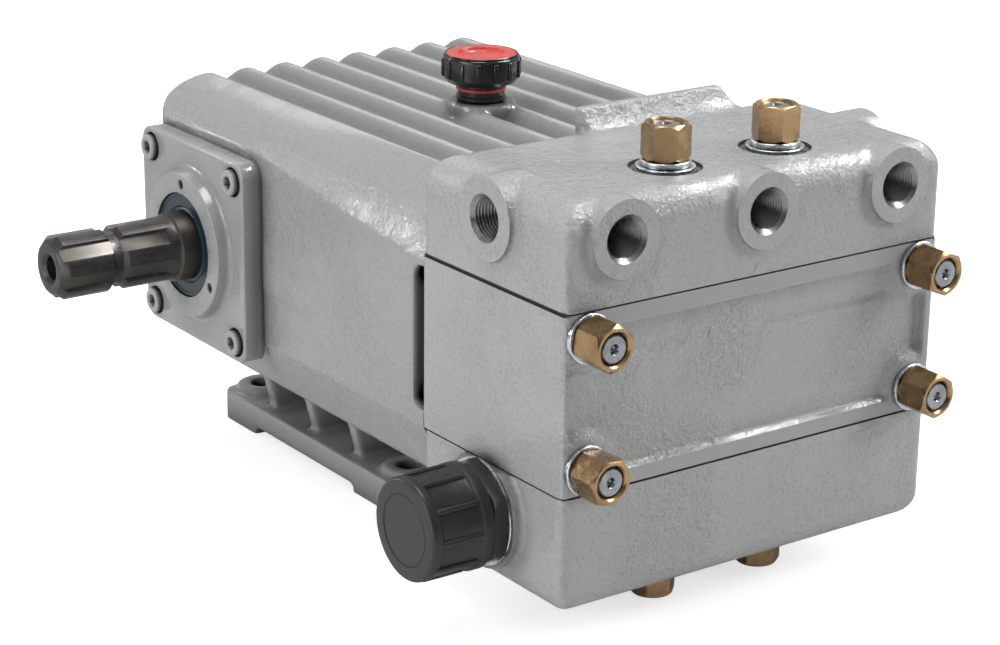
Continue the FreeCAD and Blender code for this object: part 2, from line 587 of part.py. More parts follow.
def make_crankcase():
    body = new_body("crankcase")
    sections = []
    for offset, drop in (("head_setback", "shoulder_front_drop"), ("-shoulder_bend", "shoulder_middle_drop"),
                         ("-case_rear", "shoulder_rear_drop")):
        sketch = new_sketch(body, "front", offset)
        case_section(sketch, "(crest_height - %s)" % drop)
        sections.append(sketch)
    shell = body.newObject("PartDesign::AdditiveLoft", "Loft")
    shell.Profile = sections[0]
    shell.Sections = sections[1:]
    shell.Ruled = True
    # Round nose of the rear end, cut from the side along the top and from above down both corners.
    corner = "(1 - sqrt(0.5))"
    sketch = new_sketch(body, "side", "-case_width / 2 - cut_margin")
    outline(sketch, [
        ("case_rear - crown_round", "crest_height", "case_rear - crown_round * %s" % corner,
         "crest_height - crown_round * %s" % corner),
        ("case_rear", "crest_height - crown_round"),
        ("case_rear + cut_margin", "crest_height - crown_round"),
        ("case_rear + cut_margin", "crest_height + cut_margin"),
        ("case_rear - crown_round", "crest_height + cut_margin"),
    ])
    pocket(body, sketch, "case_width + 2 * cut_margin", backwards=True)
    for side in SIDES.values():
        sketch = new_sketch(body, "top", "belly_height - cut_margin")
        outline(sketch, [
            ("%s * case_width / 2" % side, "case_rear - rear_round",
             "%s * (case_width / 2 - rear_round * %s)" % (side, corner),
             "case_rear - rear_round * %s" % corner),
            ("%s * (case_width / 2 - rear_round)" % side, "case_rear"),
            ("%s * (case_width / 2 - rear_round)" % side, "case_rear + cut_margin"),
            ("%s * (case_width / 2 + cut_margin)" % side, "case_rear + cut_margin"),
            ("%s * (case_width / 2 + cut_margin)" % side, "case_rear - rear_round"),
        ])
        pocket(body, sketch, "crest_height", backwards=True)

    # Sump, foot rails, their bosses and the ribs over them.
    sketch = new_sketch(body, "top", "sump_base")
    rectangle(sketch, "-sump_half", "sump_half", "sump_front", "sump_rear")
    pad(body, sketch, "belly_height + weld - sump_base")
    for side in SIDES.values():
        sketch = new_sketch(body, "top")
        rectangle(sketch, "%s * (sump_half - weld)" % side, "%s * rail_outer" % side,
                  "rail_front", "rail_rear")
        pad(body, sketch, "rail_height")
    outer = size("rail_outer")
    soften(body, "rail_round",
           lambda edge: runs_along(edge, UP) and near(abs(edge.BoundBox.XMin), outer))
    for across, along in FOOT_CORNERS:
        sketch = new_sketch(body, "top", "recess_height + weld / 2")
        circle(sketch, "%s * foot_spacing_x / 2" % across, "%s * foot_spacing_y / 2" % along, "foot_boss")
        pad(body, sketch, "foot_boss_height - recess_height - weld / 2")
    for number in (-1, 0, 1):
        sketch = new_sketch(body, "front", "-(%d * rib_pitch - rib_width / 2)" % number)
        outline(sketch, [
            ("-rib_reach", "rail_height - weld"),
            ("rib_reach", "rail_height - weld"),
            ("rib_reach", "rail_height"),
            ("rail_outer", "belly_height + weld / 2"),
            ("-rail_outer", "belly_height + weld / 2"),
            ("-rib_reach", "rail_height"),
        ])
        pad(body, sketch, "rib_width", backwards=True)
    sketch = new_sketch(body, "top")
    rectangle(sketch, "-rail_outer - cut_margin", "rail_outer + cut_margin", "-pad_start", "pad_start")
    pocket(body, sketch, "recess_height", backwards=True)
    sketch = new_sketch(body, "top")
    for across, along in FOOT_CORNERS:
        circle(sketch, "%s * foot_spacing_x / 2" % across, "%s * foot_spacing_y / 2" % along, "foot_hole")
    pocket(body, sketch, "foot_boss_height + cut_margin", backwards=True)

    # The side pads, left bare.
    pad_end = "crank_offset - cover_side / 2 - side_pad_length"
    for side in SIDES.values():
        sketch = new_sketch(body, "side", "%s * (case_width / 2 - weld / 2)" % side)
        outline(sketch, [
            ("crank_offset", "side_pad_axis - side_pad_height / 2"),
            ("crank_offset", "side_pad_axis + side_pad_height / 2"),
            (pad_end + " + side_pad_height / 2", "side_pad_axis + side_pad_height / 2",
             pad_end, "side_pad_axis"),
            (pad_end + " + side_pad_height / 2", "side_pad_axis - side_pad_height / 2"),
        ])
        pad(body, sketch, "weld / 2 + side_pad_rise", backwards=side == SIDES["left"])
    # Seats of the covers: the pads stop under them, and the shaft runs in its bearing.
    for side in SIDES.values():
        sketch = new_sketch(body, "side", "%s * case_width / 2" % side)
        rectangle(sketch, "crank_offset - cover_side / 2", "crank_offset + cover_side / 2",
                  "crank_height - cover_side / 2", "crank_height + cover_side / 2")
        pocket(body, sketch, "side_pad_rise + cut_margin", backwards=side == SIDES["right"])
        sketch = new_sketch(body, "side", "%s * case_width / 2" % side)
        for along, up in COVER_SCREWS:
            circle(sketch, screw_y(along), screw_z(up), "screw_radius + thread_clearance")
        pocket(body, sketch, "screw_bite + drill_margin", backwards=side == SIDES["left"])
    sketch = new_sketch(body, "side", "-case_width / 2")
    circle(sketch, "crank_offset", "crank_height", "journal_radius + journal_fit")
    pocket(body, sketch, "case_width / 2 - journal_end + shaft_end_gap", backwards=True)

    # Drip windows behind the valve block, and the tapped holes of studs, screws, neck and plug.
    for side in SIDES.values():
        sketch = new_sketch(body, "side", "%s * case_width / 2" % side)
        rectangle(sketch, HEAD_BACK, HEAD_BACK + " + window_depth", "window_low", "window_high")
        pocket(body, sketch, "window_reach", backwards=side == SIDES["left"])
    window_back = size(HEAD_BACK + " + window_depth")
    soften(body, "window_round",
           lambda edge: runs_along(edge, FreeCAD.Vector(1, 0, 0)) and near(edge.BoundBox.YMin, window_back)
           and size("window_low - cut_margin") < edge.BoundBox.ZMin < size("window_high + cut_margin"))
    sketch = new_sketch(body, "front", "head_setback")
    for side, height in FRONT_STUDS:
        circle(sketch, "%s * front_stud_x" % side, height, "stud_radius + thread_clearance")
    pocket(body, sketch, "front_stud_bite")
    sketch = new_sketch(body, "front", "-case_rear")
    for across, up in REAR_SCREWS:
        circle(sketch, rear_x(across), rear_z(up), "rear_shank_radius + thread_clearance")
    pocket(body, sketch, "rear_screw_bite + drill_margin", backwards=True)
    sketch = new_sketch(body, "front", "-sump_rear")
    circle(sketch, "0", "drain_height", "drain_thread + thread_clearance")
    pocket(body, sketch, "drain_bite + drill_margin", backwards=True)

    # Cooling fins along the top, and the boss of the oil filler between them.
    sketch = new_sketch(body, "front", "head_setback")
    fin_wave(sketch)
    pocket(body, sketch, "head_setback + case_rear")
    sketch = new_sketch(body, "top", "crest_height - fin_depth - weld")
    circle(sketch, "0", "filler_y", "filler_boss_radius")
    pad(body, sketch, "filler_boss_rise + fin_depth + weld")
    sketch = new_sketch(body, "top", FILLER_BASE)
    circle(sketch, "0", "filler_y", "neck_thread + thread_clearance")
    pocket(body, sketch, "neck_bite + drill_margin")
    finish(body, "crankcase")


def make_valve_block():
    body = new_body("valve_block")
    sketch = new_sketch(body, "top", "block_base")
    rectangle(sketch, "-head_width / 2", "head_width / 2", HEAD_FRONT, HEAD_BACK)
    pad(body, sketch, "block_height")
    front = size(HEAD_FRONT)
    soften(body, "block_edge", lambda edge: runs_along(edge, UP) and near(edge.BoundBox.YMin, front))

    # Recessed front panel, left bare, that goes round the washers of the front nuts.
    top = "(%s - panel_margin_top)" % BLOCK_TOP
    low = "(block_base + panel_margin_low)"
    inner = "(front_stud_x - panel_half)"
    reach = "sqrt(panel_clear ^ 2 - %s ^ 2)" % inner
    top_x = "(front_stud_x - sqrt(panel_clear ^ 2 - (%s - front_stud_high) ^ 2))" % top
    low_x = "(front_stud_x - sqrt(panel_clear ^ 2 - (front_stud_low - %s) ^ 2))" % low
    turn_x = "(front_stud_x - panel_clear * 0.7071)"
    high_turn = "(front_stud_high - panel_clear * 0.7071)"
    low_turn = "(front_stud_low + panel_clear * 0.7071)"
    sketch = new_sketch(body, "front", "head_setback + head_depth")
    outline(sketch, [
        ("-" + low_x, low),
        (low_x, low, turn_x, low_turn),
        ("panel_half", "front_stud_low + " + reach),
        ("panel_half", "front_stud_high - " + reach, turn_x, high_turn),
        (top_x, top),
        ("-" + top_x, top, "-" + turn_x, high_turn),
        ("-panel_half", "front_stud_high - " + reach),
        ("-panel_half", "front_stud_low + " + reach, "-" + turn_x, low_turn),
    ])
    pocket(body, sketch, "panel_depth")
    sketch = new_sketch(body, "front", "head_setback + head_depth")
    for side, height in FRONT_STUDS:
        circle(sketch, "%s * front_stud_x" % side, height, STUD_HOLE)
    pocket(body, sketch, "head_depth")
    sketch = new_sketch(body, "top", BLOCK_TOP)
    for side in SIDES.values():
        circle(sketch, "%s * through_stud_x" % side, THROUGH_Y, STUD_HOLE)
    pocket(body, sketch, "block_height")
    finish(body, "valve_block")


def make_delivery_manifold():
    body = new_body("delivery_manifold")
    sketch = new_sketch(body, "top", DELIVERY_BASE)
    rectangle(sketch, "-head_width / 2", "head_width / 2", HEAD_FRONT, MANIFOLD_BACK)
    pad(body, sketch, "delivery_height")
    top = size(DELIVERY_TOP)
    back = size(MANIFOLD_BACK)
    soften(body, "delivery_edge", lambda edge: runs_along(edge, UP))
    soften(body, "delivery_round",
           lambda edge: flat_at(edge, "z", top) and not flat_at(edge, "y", back))

    # Raised web along the back, with a hollow fillet in front of it.
    sketch = new_sketch(body, "side", "web_left")
    outline(sketch, [
        (MANIFOLD_BACK, DELIVERY_TOP + " - weld"),
        (MANIFOLD_BACK, DELIVERY_TOP + " + web_rise"),
        (MANIFOLD_BACK + " - web_crest", DELIVERY_TOP + " + web_rise",
         MANIFOLD_BACK + " - web_crest - (web_foot - web_crest) * 0.3", DELIVERY_TOP + " + web_rise * 0.25"),
        (MANIFOLD_BACK + " - web_foot", DELIVERY_TOP + " - web_toe"),
        (MANIFOLD_BACK + " - web_foot", DELIVERY_TOP + " - weld"),
    ])
    pad(body, sketch, "web_right - web_left")

    # Port bosses: three in front and one on each side.
    for number in (-1, 0, 1):
        sketch = new_sketch(body, "front", "head_setback + head_depth + boss_rise")
        circle(sketch, "%d * port_pitch" % number, "port_height", "port_boss")
        pad(body, sketch, "boss_rise + boss_root", backwards=True)
    for side in SIDES.values():
        sketch = new_sketch(body, "side", "%s * (head_width / 2 + boss_rise)" % side)
        circle(sketch, HEAD_FRONT + " + side_port_depth", "port_height", "side_boss")
        pad(body, sketch, "boss_rise + boss_root", backwards=side == SIDES["right"])
    sketch = new_sketch(body, "front", "head_setback + head_depth + boss_rise")
    for number in (-1, 0, 1):
        circle(sketch, "%d * port_pitch" % number, "port_height", "port_radius")
    drill(body, sketch, "port_radius", "port_depth", "port_chamfer")
    for side in SIDES.values():
        sketch = new_sketch(body, "side", "%s * (head_width / 2 + boss_rise)" % side)
        circle(sketch, HEAD_FRONT + " + side_port_depth", "port_height", "port_radius")
        drill(body, sketch, "port_radius", "port_depth", "port_chamfer", backwards=side == SIDES["left"])
    for radius, depth in (("spotface_radius", "spotface_depth"), (STUD_HOLE, "delivery_height")):
        sketch = new_sketch(body, "top", DELIVERY_TOP)
        for side in SIDES.values():
            circle(sketch, "%s * through_stud_x" % side, THROUGH_Y, radius)
        pocket(body, sketch, depth)
    finish(body, "delivery_manifold")


def make_suction_manifold():
    body = new_body("suction_manifold")
    sketch = new_sketch(body, "top", SUCTION_BASE)
    rectangle(sketch, "-head_width / 2", "head_width / 2", HEAD_FRONT, MANIFOLD_BACK)
    pad(body, sketch, "suction_height")
    base = size(SUCTION_BASE)
    soften(body, "suction_edge", lambda edge: runs_along(edge, UP))
    soften(body, "suction_round", lambda edge: flat_at(edge, "z", base))
    for side in SIDES.values():
        sketch = new_sketch(body, "side", "%s * (head_width / 2 + suction_boss_rise)" % side)
        circle(sketch, HEAD_FRONT + " + suction_setback", "suction_axis", "suction_boss")
        pad(body, sketch, "suction_boss_rise", backwards=side == SIDES["right"])
    # The bosses stop at the gasket's plane.
    sketch = new_sketch(body, "top", SUCTION_TOP)
    rectangle(sketch, "-head_width", "head_width", HEAD_FRONT, HEAD_BACK)
    pocket(body, sketch, "suction_boss", backwards=True)
    for side in SIDES.values():
        sketch = new_sketch(body, "side", "%s * (head_width / 2 + suction_boss_rise)" % side)
        circle(sketch, HEAD_FRONT + " + suction_setback", "suction_axis", "suction_thread + thread_clearance")
        pocket(body, sketch, "suction_thread_depth", backwards=side == SIDES["left"])
    for radius, depth in (("low_seat_radius", "low_seat_depth"), (STUD_HOLE, "suction_height")):
        sketch = new_sketch(body, "top", SUCTION_BASE)
        for side in SIDES.values():
            circle(sketch, "%s * through_stud_x" % side, THROUGH_Y, radius)
        pocket(body, sketch, depth, backwards=True)
    finish(body, "suction_manifold")


def make_gasket(label, base):
    sheet_metal = box("head_width - 2 * gasket_inset", "head_depth - 2 * gasket_inset - delivery_gap",
                      "gasket_thickness", "-head_width / 2 + gasket_inset",
                      HEAD_FRONT + " + gasket_inset", base)
    holes = [cylinder(STUD_HOLE, "gasket_thickness", "up", "%s * through_stud_x" % side, THROUGH_Y, base)
             for side in SIDES.values()]
    finish(cut(sheet_metal, *holes), label)


def hex_nut(facing, x, y, z):
    """A tall brass nut, chamfered at both ends, with its bore widened at the outer end."""
    blank = hexagon("nut_flats", "nut_height", facing, x, y, z)
    # Each chamfer is a cone as tall as the nut that meets one end at the chamfered radius.
    wide = "(nut_flats / sqrt(3) + nut_height - nut_chamfer)"
    narrow = "(nut_flats / sqrt(3) - nut_chamfer)"
    outer = cone(wide, narrow, "nut_height", facing, x, y, z)
    inner = cone(narrow, wide, "nut_height", facing, x, y, z)
    hole = cylinder("stud_radius + thread_clearance", "nut_height", facing, x, y, z)
    mouth = cone("0", "stud_radius + nut_mouth", "nut_height", facing, x, y, z)
    return cut(common(common(blank, outer), inner), hole, mouth)


def washer(radius, thickness, facing, x, y, z):
    disc = cylinder(radius, thickness, facing, x, y, z)
    return cut(disc, cylinder(STUD_HOLE, thickness, facing, x, y, z))


def make_front_fasteners():
    names = ["left_low", "left_high", "right_low", "right_high"]
    washers = []
    studs = []
    proud = "lock_washer_thickness + nut_height - stud_recess"
    for name, (side, height) in zip(names, FRONT_STUDS):
        x = "%s * front_stud_x" % side
        washers.append(washer("lock_washer_radius", "lock_washer_thickness", "forward",
                              x, HEAD_FRONT, height))
        finish(hex_nut("forward", x, HEAD_FRONT + " - lock_washer_thickness", height), "front_nut_" + name)
        studs.append(cylinder("stud_radius", "head_depth + front_stud_bite + %s" % proud, "forward",
                              x, HEAD_BACK + " + front_stud_bite", height))
    finish(together(*washers), "front_washers")
    finish(together(*studs), "front_studs")


def make_through_fasteners():
    washers = []
    lock_washers = []
    studs = []
    stack = "(washer_thickness + lock_washer_thickness)"
    ends = [("top", "up", TOP_SEAT, "+"), ("bottom", "down", LOW_SEAT, "-")]
    low_end = "(%s - %s - nut_height + stud_recess)" % (LOW_SEAT, stack)
    high_end = "(%s + %s + nut_height - stud_recess)" % (TOP_SEAT, stack)
    for name, side in SIDES.items():
        x = "%s * through_stud_x" % side
        for end, facing, seat, sign in ends:
            washers.append(washer("washer_radius", "washer_thickness", facing, x, THROUGH_Y, seat))
            lock_washers.append(washer("lock_washer_radius", "lock_washer_thickness", facing, x, THROUGH_Y,
                                       "%s %s washer_thickness" % (seat, sign)))
            finish(hex_nut(facing, x, THROUGH_Y, "%s %s %s" % (seat, sign, stack)), end + "_nut_" + name)
        studs.append(cylinder("stud_radius", "%s - %s" % (high_end, low_end), "up", x, THROUGH_Y, low_end))
    finish(together(*washers), "upright_washers")
    finish(together(*lock_washers), "upright_lock_washers")
    finish(together(*studs), "upright_studs")


def make_suction_fittings():
    y = HEAD_FRONT + " + suction_setback"
    z = "suction_axis"
    for name, side in SIDES.items():
        seat = "%s * (head_width / 2 + suction_boss_rise)" % side
        ring = cut(cylinder("suction_washer_radius", "suction_washer_thickness", name, seat, y, z),
                   cylinder("suction_thread + thread_clearance", "suction_washer_thickness",
                            name, seat, y, z))
        finish(ring, "suction_washer_" + name)
        inner = "%s * (head_width / 2 + suction_boss_rise - adapter_spigot)" % side
        root = "%s * (head_width / 2 + suction_boss_rise + suction_washer_thickness)" % side
        spigot = cylinder("suction_thread", "adapter_spigot + suction_washer_thickness", name, inner, y, z)
        head = hexagon("adapter_flats", "adapter_hex", name, root, y, z)
        if name == "right":
            finish(fuse(spigot, head), "suction_plug")
            continue
        stub = cylinder("suction_thread", "adapter_hex + adapter_stub", name, root, y, z)
        bore = cylinder("adapter_bore",
                        "adapter_spigot + suction_washer_thickness + adapter_hex + adapter_stub",
                        name, inner, y, z)
        finish(cut(fuse(spigot, head, stub), bore), "suction_adapter")
    make_suction_cap(y, z)


def make_suction_cap(y, z):
    """Ribbed plastic cap screwed over the adapter's outer thread."""
    body = new_body("suction_cap")
    base = "-(head_width / 2 + suction_boss_rise + suction_washer_thickness + adapter_hex)"
    disc = new_sketch(body, "side", base, y, z)
    circle(disc, "0", "0", "cap_radius")
    pad(body, disc, "cap_length", backwards=True)
    end = size(base + " - cap_length")
    soften(body, "cap_wall / 2", lambda edge: flat_at(edge, "x", end))
    sketch = new_sketch(body, "side", base, y, z)
    rectangle(sketch, "-cap_rib_width / 2", "cap_rib_width / 2",
              "cap_radius - weld / 2", "cap_radius + cap_rib_rise")
    rib = pad(body, sketch, "cap_length - cap_wall", backwards=True)
    repeat_round(body, rib, (disc, ["N_Axis"]), "cap_rib_count")
    sketch = new_sketch(body, "side", base, y, z)
    circle(sketch, "0", "0", "suction_thread + thread_clearance")
    pocket(body, sketch, "cap_length - cap_wall")
    finish(body, "suction_cap")


def make_bearing_covers():
    for name, side in SIDES.items():
        body = new_body("bearing_cover_" + name)
        left = name == "left"
        face = "%s * %s" % (side, COVER_FACE)
        sketch = new_sketch(body, "side", "%s * case_width / 2" % side, "crank_offset", "crank_height")
        rectangle(sketch, "-cover_side / 2", "cover_side / 2", "-cover_side / 2", "cover_side / 2")
        pad(body, sketch, "cover_thickness", backwards=left)
        soften(body, "cover_corner", lambda edge: runs_along(edge, FreeCAD.Vector(1, 0, 0)))
        outer = size(face)
        soften(body, "cover_edge", lambda edge: flat_at(edge, "x", outer))
        add_boss(body, side, "cover_boss_rise" if left else "blind_boss_rise")
        if left:
            bore_seal_seat(body)
        for radius, depth in (("screw_head_radius + screw_clearance", "screw_sink"),
                              ("screw_radius + thread_clearance", "cover_thickness")):
            sketch = new_sketch(body, "side", face)
            for along, up in COVER_SCREWS:
                circle(sketch, screw_y(along), screw_z(up), radius)
            pocket(body, sketch, depth, backwards=left)
        finish(body, "bearing_cover_" + name)


def add_boss(body, side, rise):
    """The cover's round boss with its coned foot, turned about the crank axis."""
    sketch = new_sketch(body, "front", "-crank_offset", "0", "crank_height")
    root = "%s * (%s - weld / 2)" % (side, COVER_FACE)
    top = "%s * (%s + %s)" % (side, COVER_FACE, rise)
    outline(sketch, [
        (root, "0"),
        (top, "0"),
        (top, "cover_boss"),
        ("%s * (%s + %s * 0.35)" % (side, COVER_FACE, rise), "cover_boss + cover_boss_step"),
        ("%s * %s" % (side, COVER_FACE), "cover_boss_foot"),
        (root, "cover_boss_foot"),
    ])
    revolve(body, sketch)


def bore_seal_seat(body):
    face = "-(%s + cover_boss_rise)" % COVER_FACE
    for radius, depth in (("seal_radius", "seal_recess + seal_width"),
                          ("cover_bore", "cover_thickness + cover_boss_rise")):
        sketch = new_sketch(body, "side", face, "crank_offset", "crank_height")
        circle(sketch, "0", "0", radius)
        pocket(body, sketch, depth, backwards=True)
    sketch = new_sketch(body, "side", face, "crank_offset", "crank_height")
    for number in range(3):
        angle = "(puller_turn + %d * 120)" % number
        circle(sketch, "puller_circle * cos(%s)" % angle, "puller_circle * sin(%s)" % angle, "puller_radius")
    pocket(body, sketch, "puller_depth", backwards=True)


def make_cover_screws():
    for name, side in SIDES.items():
        screws = []
        for along, up in COVER_SCREWS:
            y = screw_y(along)
            z = screw_z(up)
            root = "%s * (case_width / 2 - screw_bite)" % side
            under_head = "%s * (%s - screw_sink)" % (side, COVER_FACE)
            socket_rise = "(screw_head_height - screw_sink - screw_socket_depth)"
            socket_floor = "%s * (%s + %s)" % (side, COVER_FACE, socket_rise)
            shank = cylinder("screw_radius", "screw_bite + cover_thickness - screw_sink", name, root, y, z)
            head = cylinder("screw_head_radius", "screw_head_height", name, under_head, y, z)
            socket = hexagon("screw_socket", "screw_socket_depth", name, socket_floor, y, z)
            screws.append(cut(fuse(shank, head), socket))
        finish(together(*screws), "cover_screws_" + name)


def make_oil_seal():
    face = "-(%s + cover_boss_rise - seal_recess)" % COVER_FACE
    ring = cylinder("seal_radius - seal_fit", "seal_width", "right", face, "crank_offset", "crank_height")
    hole = cylinder("journal_radius + journal_fit", "seal_width", "right",
                    face, "crank_offset", "crank_height")
    finish(cut(ring, hole), "oil_seal")


def make_drive_shaft():
    """Splined drive end with its locking groove, turned about the crank axis."""
    body = new_body("drive_shaft")
    shoulder = "(-shaft_tip + spline_length)"
    groove = "(-shaft_tip + groove_position)"
    slope = "(shaft_radius - groove_radius)"
    section = new_sketch(body, "front", "-crank_offset", "0", "crank_height")
    outline(section, [
        ("-shaft_tip", "0"),
        ("-shaft_tip", "shaft_radius - tip_chamfer * 0.7"),
        ("-shaft_tip + tip_chamfer", "shaft_radius"),
        (groove + " - groove_width / 2 - " + slope, "shaft_radius"),
        (groove + " - groove_width / 2", "groove_radius"),
        (groove + " + groove_width / 2", "groove_radius"),
        (groove + " + groove_width / 2 + " + slope, "shaft_radius"),
        (shoulder, "shaft_radius"),
        (shoulder + " + journal_step", "journal_radius"),
        ("-journal_end", "journal_radius"),
        ("-journal_end", "0"),
    ])
    revolve(body, section)

    # One space between two teeth, with parallel tooth flanks, repeated round the shaft.
    half_turn = "(180 deg / spline_count)"
    root_turn = "(%s - asin(spline_tooth / 2 / spline_root))" % half_turn
    rim = "(shaft_radius + weld)"
    rim_turn = "(%s - asin(spline_tooth / 2 / %s))" % (half_turn, rim)
    sketch = new_sketch(body, "side", "-shaft_tip", "crank_offset", "crank_height")
    outline(sketch, [
        ("spline_root * cos(%s)" % root_turn, "spline_root * sin(%s)" % root_turn, "spline_root", "0"),
        ("spline_root * cos(%s)" % root_turn, "-spline_root * sin(%s)" % root_turn),
        ("%s * cos(%s)" % (rim, rim_turn), "-%s * sin(%s)" % (rim, rim_turn)),
        ("%s * cos(%s)" % (rim, rim_turn), "%s * sin(%s)" % (rim, rim_turn)),
    ])
    space = pocket(body, sketch, "spline_length", backwards=True)
    repeat_round(body, space, (section, ["H_Axis"]), "spline_count")
    sketch = new_sketch(body, "side", "-shaft_tip", "crank_offset", "crank_height")
    circle(sketch, "0", "0", "centre_bore")
    pocket(body, sketch, "centre_depth", backwards=True)
    bore = size("centre_bore")
    tip = size("-shaft_tip")
    soften(body, "centre_chamfer", lambda edge: is_ring(edge, bore) and flat_at(edge, "x", tip), "Chamfer")
    finish(body, "drive_shaft")


def make_oil_filler():
    neck = fuse(cylinder("neck_thread", "neck_bite", "down", "0", "filler_y", FILLER_BASE),
                cylinder("neck_radius", "neck_height", "up", "0", "filler_y", FILLER_BASE))
    finish(neck, "filler_neck")
    cap_base = FILLER_BASE + " + neck_height"
    body = new_body("filler_cap")
    sketch = new_sketch(body, "top", cap_base)
    circle(sketch, "0", "filler_y", "filler_cap_radius")
    pad(body, sketch, "filler_cap_height")
    doc.recompute()
    rim = size("filler_cap_radius")
    soften(body, "filler_cap_round", lambda edge: is_ring(edge, rim))
    sketch = new_sketch(body, "top", cap_base + " + filler_cap_height")
    circle(sketch, "0", "filler_y", "insert_radius")
    pocket(body, sketch, "insert_depth")
    finish(body, "filler_cap")
    seat = cap_base + " + filler_cap_height - insert_depth"
    disc = cut(cylinder("insert_radius", "insert_depth", "up", "0", "filler_y", seat),
               cylinder("insert_dish_radius", "insert_dish", "up", "0", "filler_y",
                        seat + " + insert_depth - insert_dish"))
    finish(disc, "filler_cap_insert")


def make_rear_cover():
    body = new_body("rear_cover")
    sketch = new_sketch(body, "front", "-case_rear")
    rectangle(sketch, "-rear_cover_width / 2", "rear_cover_width / 2",
              "rear_cover_axis - rear_cover_height / 2", "rear_cover_axis + rear_cover_height / 2")
    pad(body, sketch, "rear_cover_thickness", backwards=True)
    soften(body, "rear_cover_corner", lambda edge: runs_along(edge, FreeCAD.Vector(0, 1, 0)))
    face = size("case_rear + rear_cover_thickness")
    soften(body, "cover_edge", lambda edge: flat_at(edge, "y", face))
    face_offset = "-(case_rear + rear_cover_thickness)"
    sketch = new_sketch(body, "front", face_offset)
    for across, up in REAR_SCREWS:
        circle(sketch, rear_x(across), rear_z(up), "rear_shank_radius + thread_clearance")
    pocket(body, sketch, "rear_cover_thickness", backwards=True)
    finish(body, "rear_cover")


def make_rear_fittings():
    face = "case_rear + rear_cover_thickness"
    screws = []
    for across, up in REAR_SCREWS:
        x = rear_x(across)
        z = rear_z(up)
        shank = cylinder("rear_shank_radius", "rear_screw_bite + rear_cover_thickness", "back",
                         x, "case_rear - rear_screw_bite", z)
        head = cylinder("rear_screw_radius", "rear_screw_height", "back", x, face, z)
        socket = hexagon("rear_screw_radius", "rear_screw_height / 2", "back", x,
                         face + " + rear_screw_height / 2", z)
        screws.append(cut(fuse(shank, head), socket))
    finish(together(*screws), "rear_cover_screws")
    rim = cut(cylinder("glass_rim", "glass_rise", "back", "0", face, "rear_cover_axis"),
              cylinder("glass_radius", "glass_seat", "back", "0",
                       face + " + glass_rise - glass_seat", "rear_cover_axis"))
    finish(rim, "sight_glass_rim")
    lens = cylinder("glass_radius", "glass_seat - glass_sunk", "back", "0",
                    face + " + glass_rise - glass_seat", "rear_cover_axis")
    finish(lens, "sight_glass_lens")
    plug = fuse(cylinder("drain_thread", "drain_bite", "back", "0", "sump_rear - drain_bite", "drain_height"),
                hexagon("drain_flats", "drain_head", "back", "0", "sump_rear", "drain_height"))
    finish(plug, "drain_plug")


make_crankcase()
make_valve_block()
make_delivery_manifold()
make_suction_manifold()
make_gasket("upper_gasket", BLOCK_TOP)
make_gasket("lower_gasket", SUCTION_TOP)
make_front_fasteners()
make_through_fasteners()
make_suction_fittings()
make_bearing_covers()
make_cover_screws()
make_oil_seal()
make_drive_shaft()
make_oil_filler()
make_rear_cover()
make_rear_fittings()
doc.recompute()

for item in doc.Objects:
    if "Invalid" in item.State or "Error" in item.State:
        raise ValueError("%s (%s) failed" % (item.Name, item.Label))
for item in subparts:
    if item.Shape.isNull() or not item.Shape.isValid():
        raise ValueError(item.Label + " has no valid shape")

os.makedirs("parts", exist_ok=True)
for item in subparts:
    item.Shape.exportStep("parts/%s.step" % item.Label)
    print("%-26s solids %d  volume %.0f" % (item.Label, len(item.Shape.Solids), item.Shape.Volume))
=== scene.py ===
import json
import math

import bmesh
import bpy
from mathutils import Matrix, Vector


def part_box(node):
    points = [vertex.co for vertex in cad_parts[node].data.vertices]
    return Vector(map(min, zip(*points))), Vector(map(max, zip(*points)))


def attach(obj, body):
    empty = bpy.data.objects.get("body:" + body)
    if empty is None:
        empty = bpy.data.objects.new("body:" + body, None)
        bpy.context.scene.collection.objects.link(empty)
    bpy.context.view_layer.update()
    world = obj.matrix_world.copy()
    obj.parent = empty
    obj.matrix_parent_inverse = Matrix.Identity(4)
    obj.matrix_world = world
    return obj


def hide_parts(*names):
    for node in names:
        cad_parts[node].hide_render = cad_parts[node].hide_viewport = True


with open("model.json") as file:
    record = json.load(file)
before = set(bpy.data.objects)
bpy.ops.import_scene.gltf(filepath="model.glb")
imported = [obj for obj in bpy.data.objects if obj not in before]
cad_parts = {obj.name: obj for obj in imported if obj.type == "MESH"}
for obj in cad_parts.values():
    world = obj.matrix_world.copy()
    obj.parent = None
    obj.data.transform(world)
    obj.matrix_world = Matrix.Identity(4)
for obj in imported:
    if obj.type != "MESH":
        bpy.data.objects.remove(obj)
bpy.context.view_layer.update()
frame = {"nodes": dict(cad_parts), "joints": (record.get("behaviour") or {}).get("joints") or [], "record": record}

bl_info = {
    "name": "Piston Pump",
    "version": (1, 0, 0),
    "blender": (4, 5, 0),
    "location": "3D View > Sidebar > Piston Pump",
    "description": "Dresses the packed piston pump: painted castings, brass nuts, splined shaft and caps",
    "category": "Add Mesh",
}

MM = 0.001
HOUSING = "housing"
SHAFT = "shaft"
SIDES = (-1, 1)
# A radius or gap that counts as nothing, in millimetres.
SLIGHT = 0.05
# Vertices closer than this are one, in metres.
WELD = 0.002 * MM
# An inset that keeps a cutter just clear of a face.
CLEAR = -0.02 * MM
# Own materials carry this before their names, because the frame brings plain ones under the slots' names.
PREFIX = "pump_"
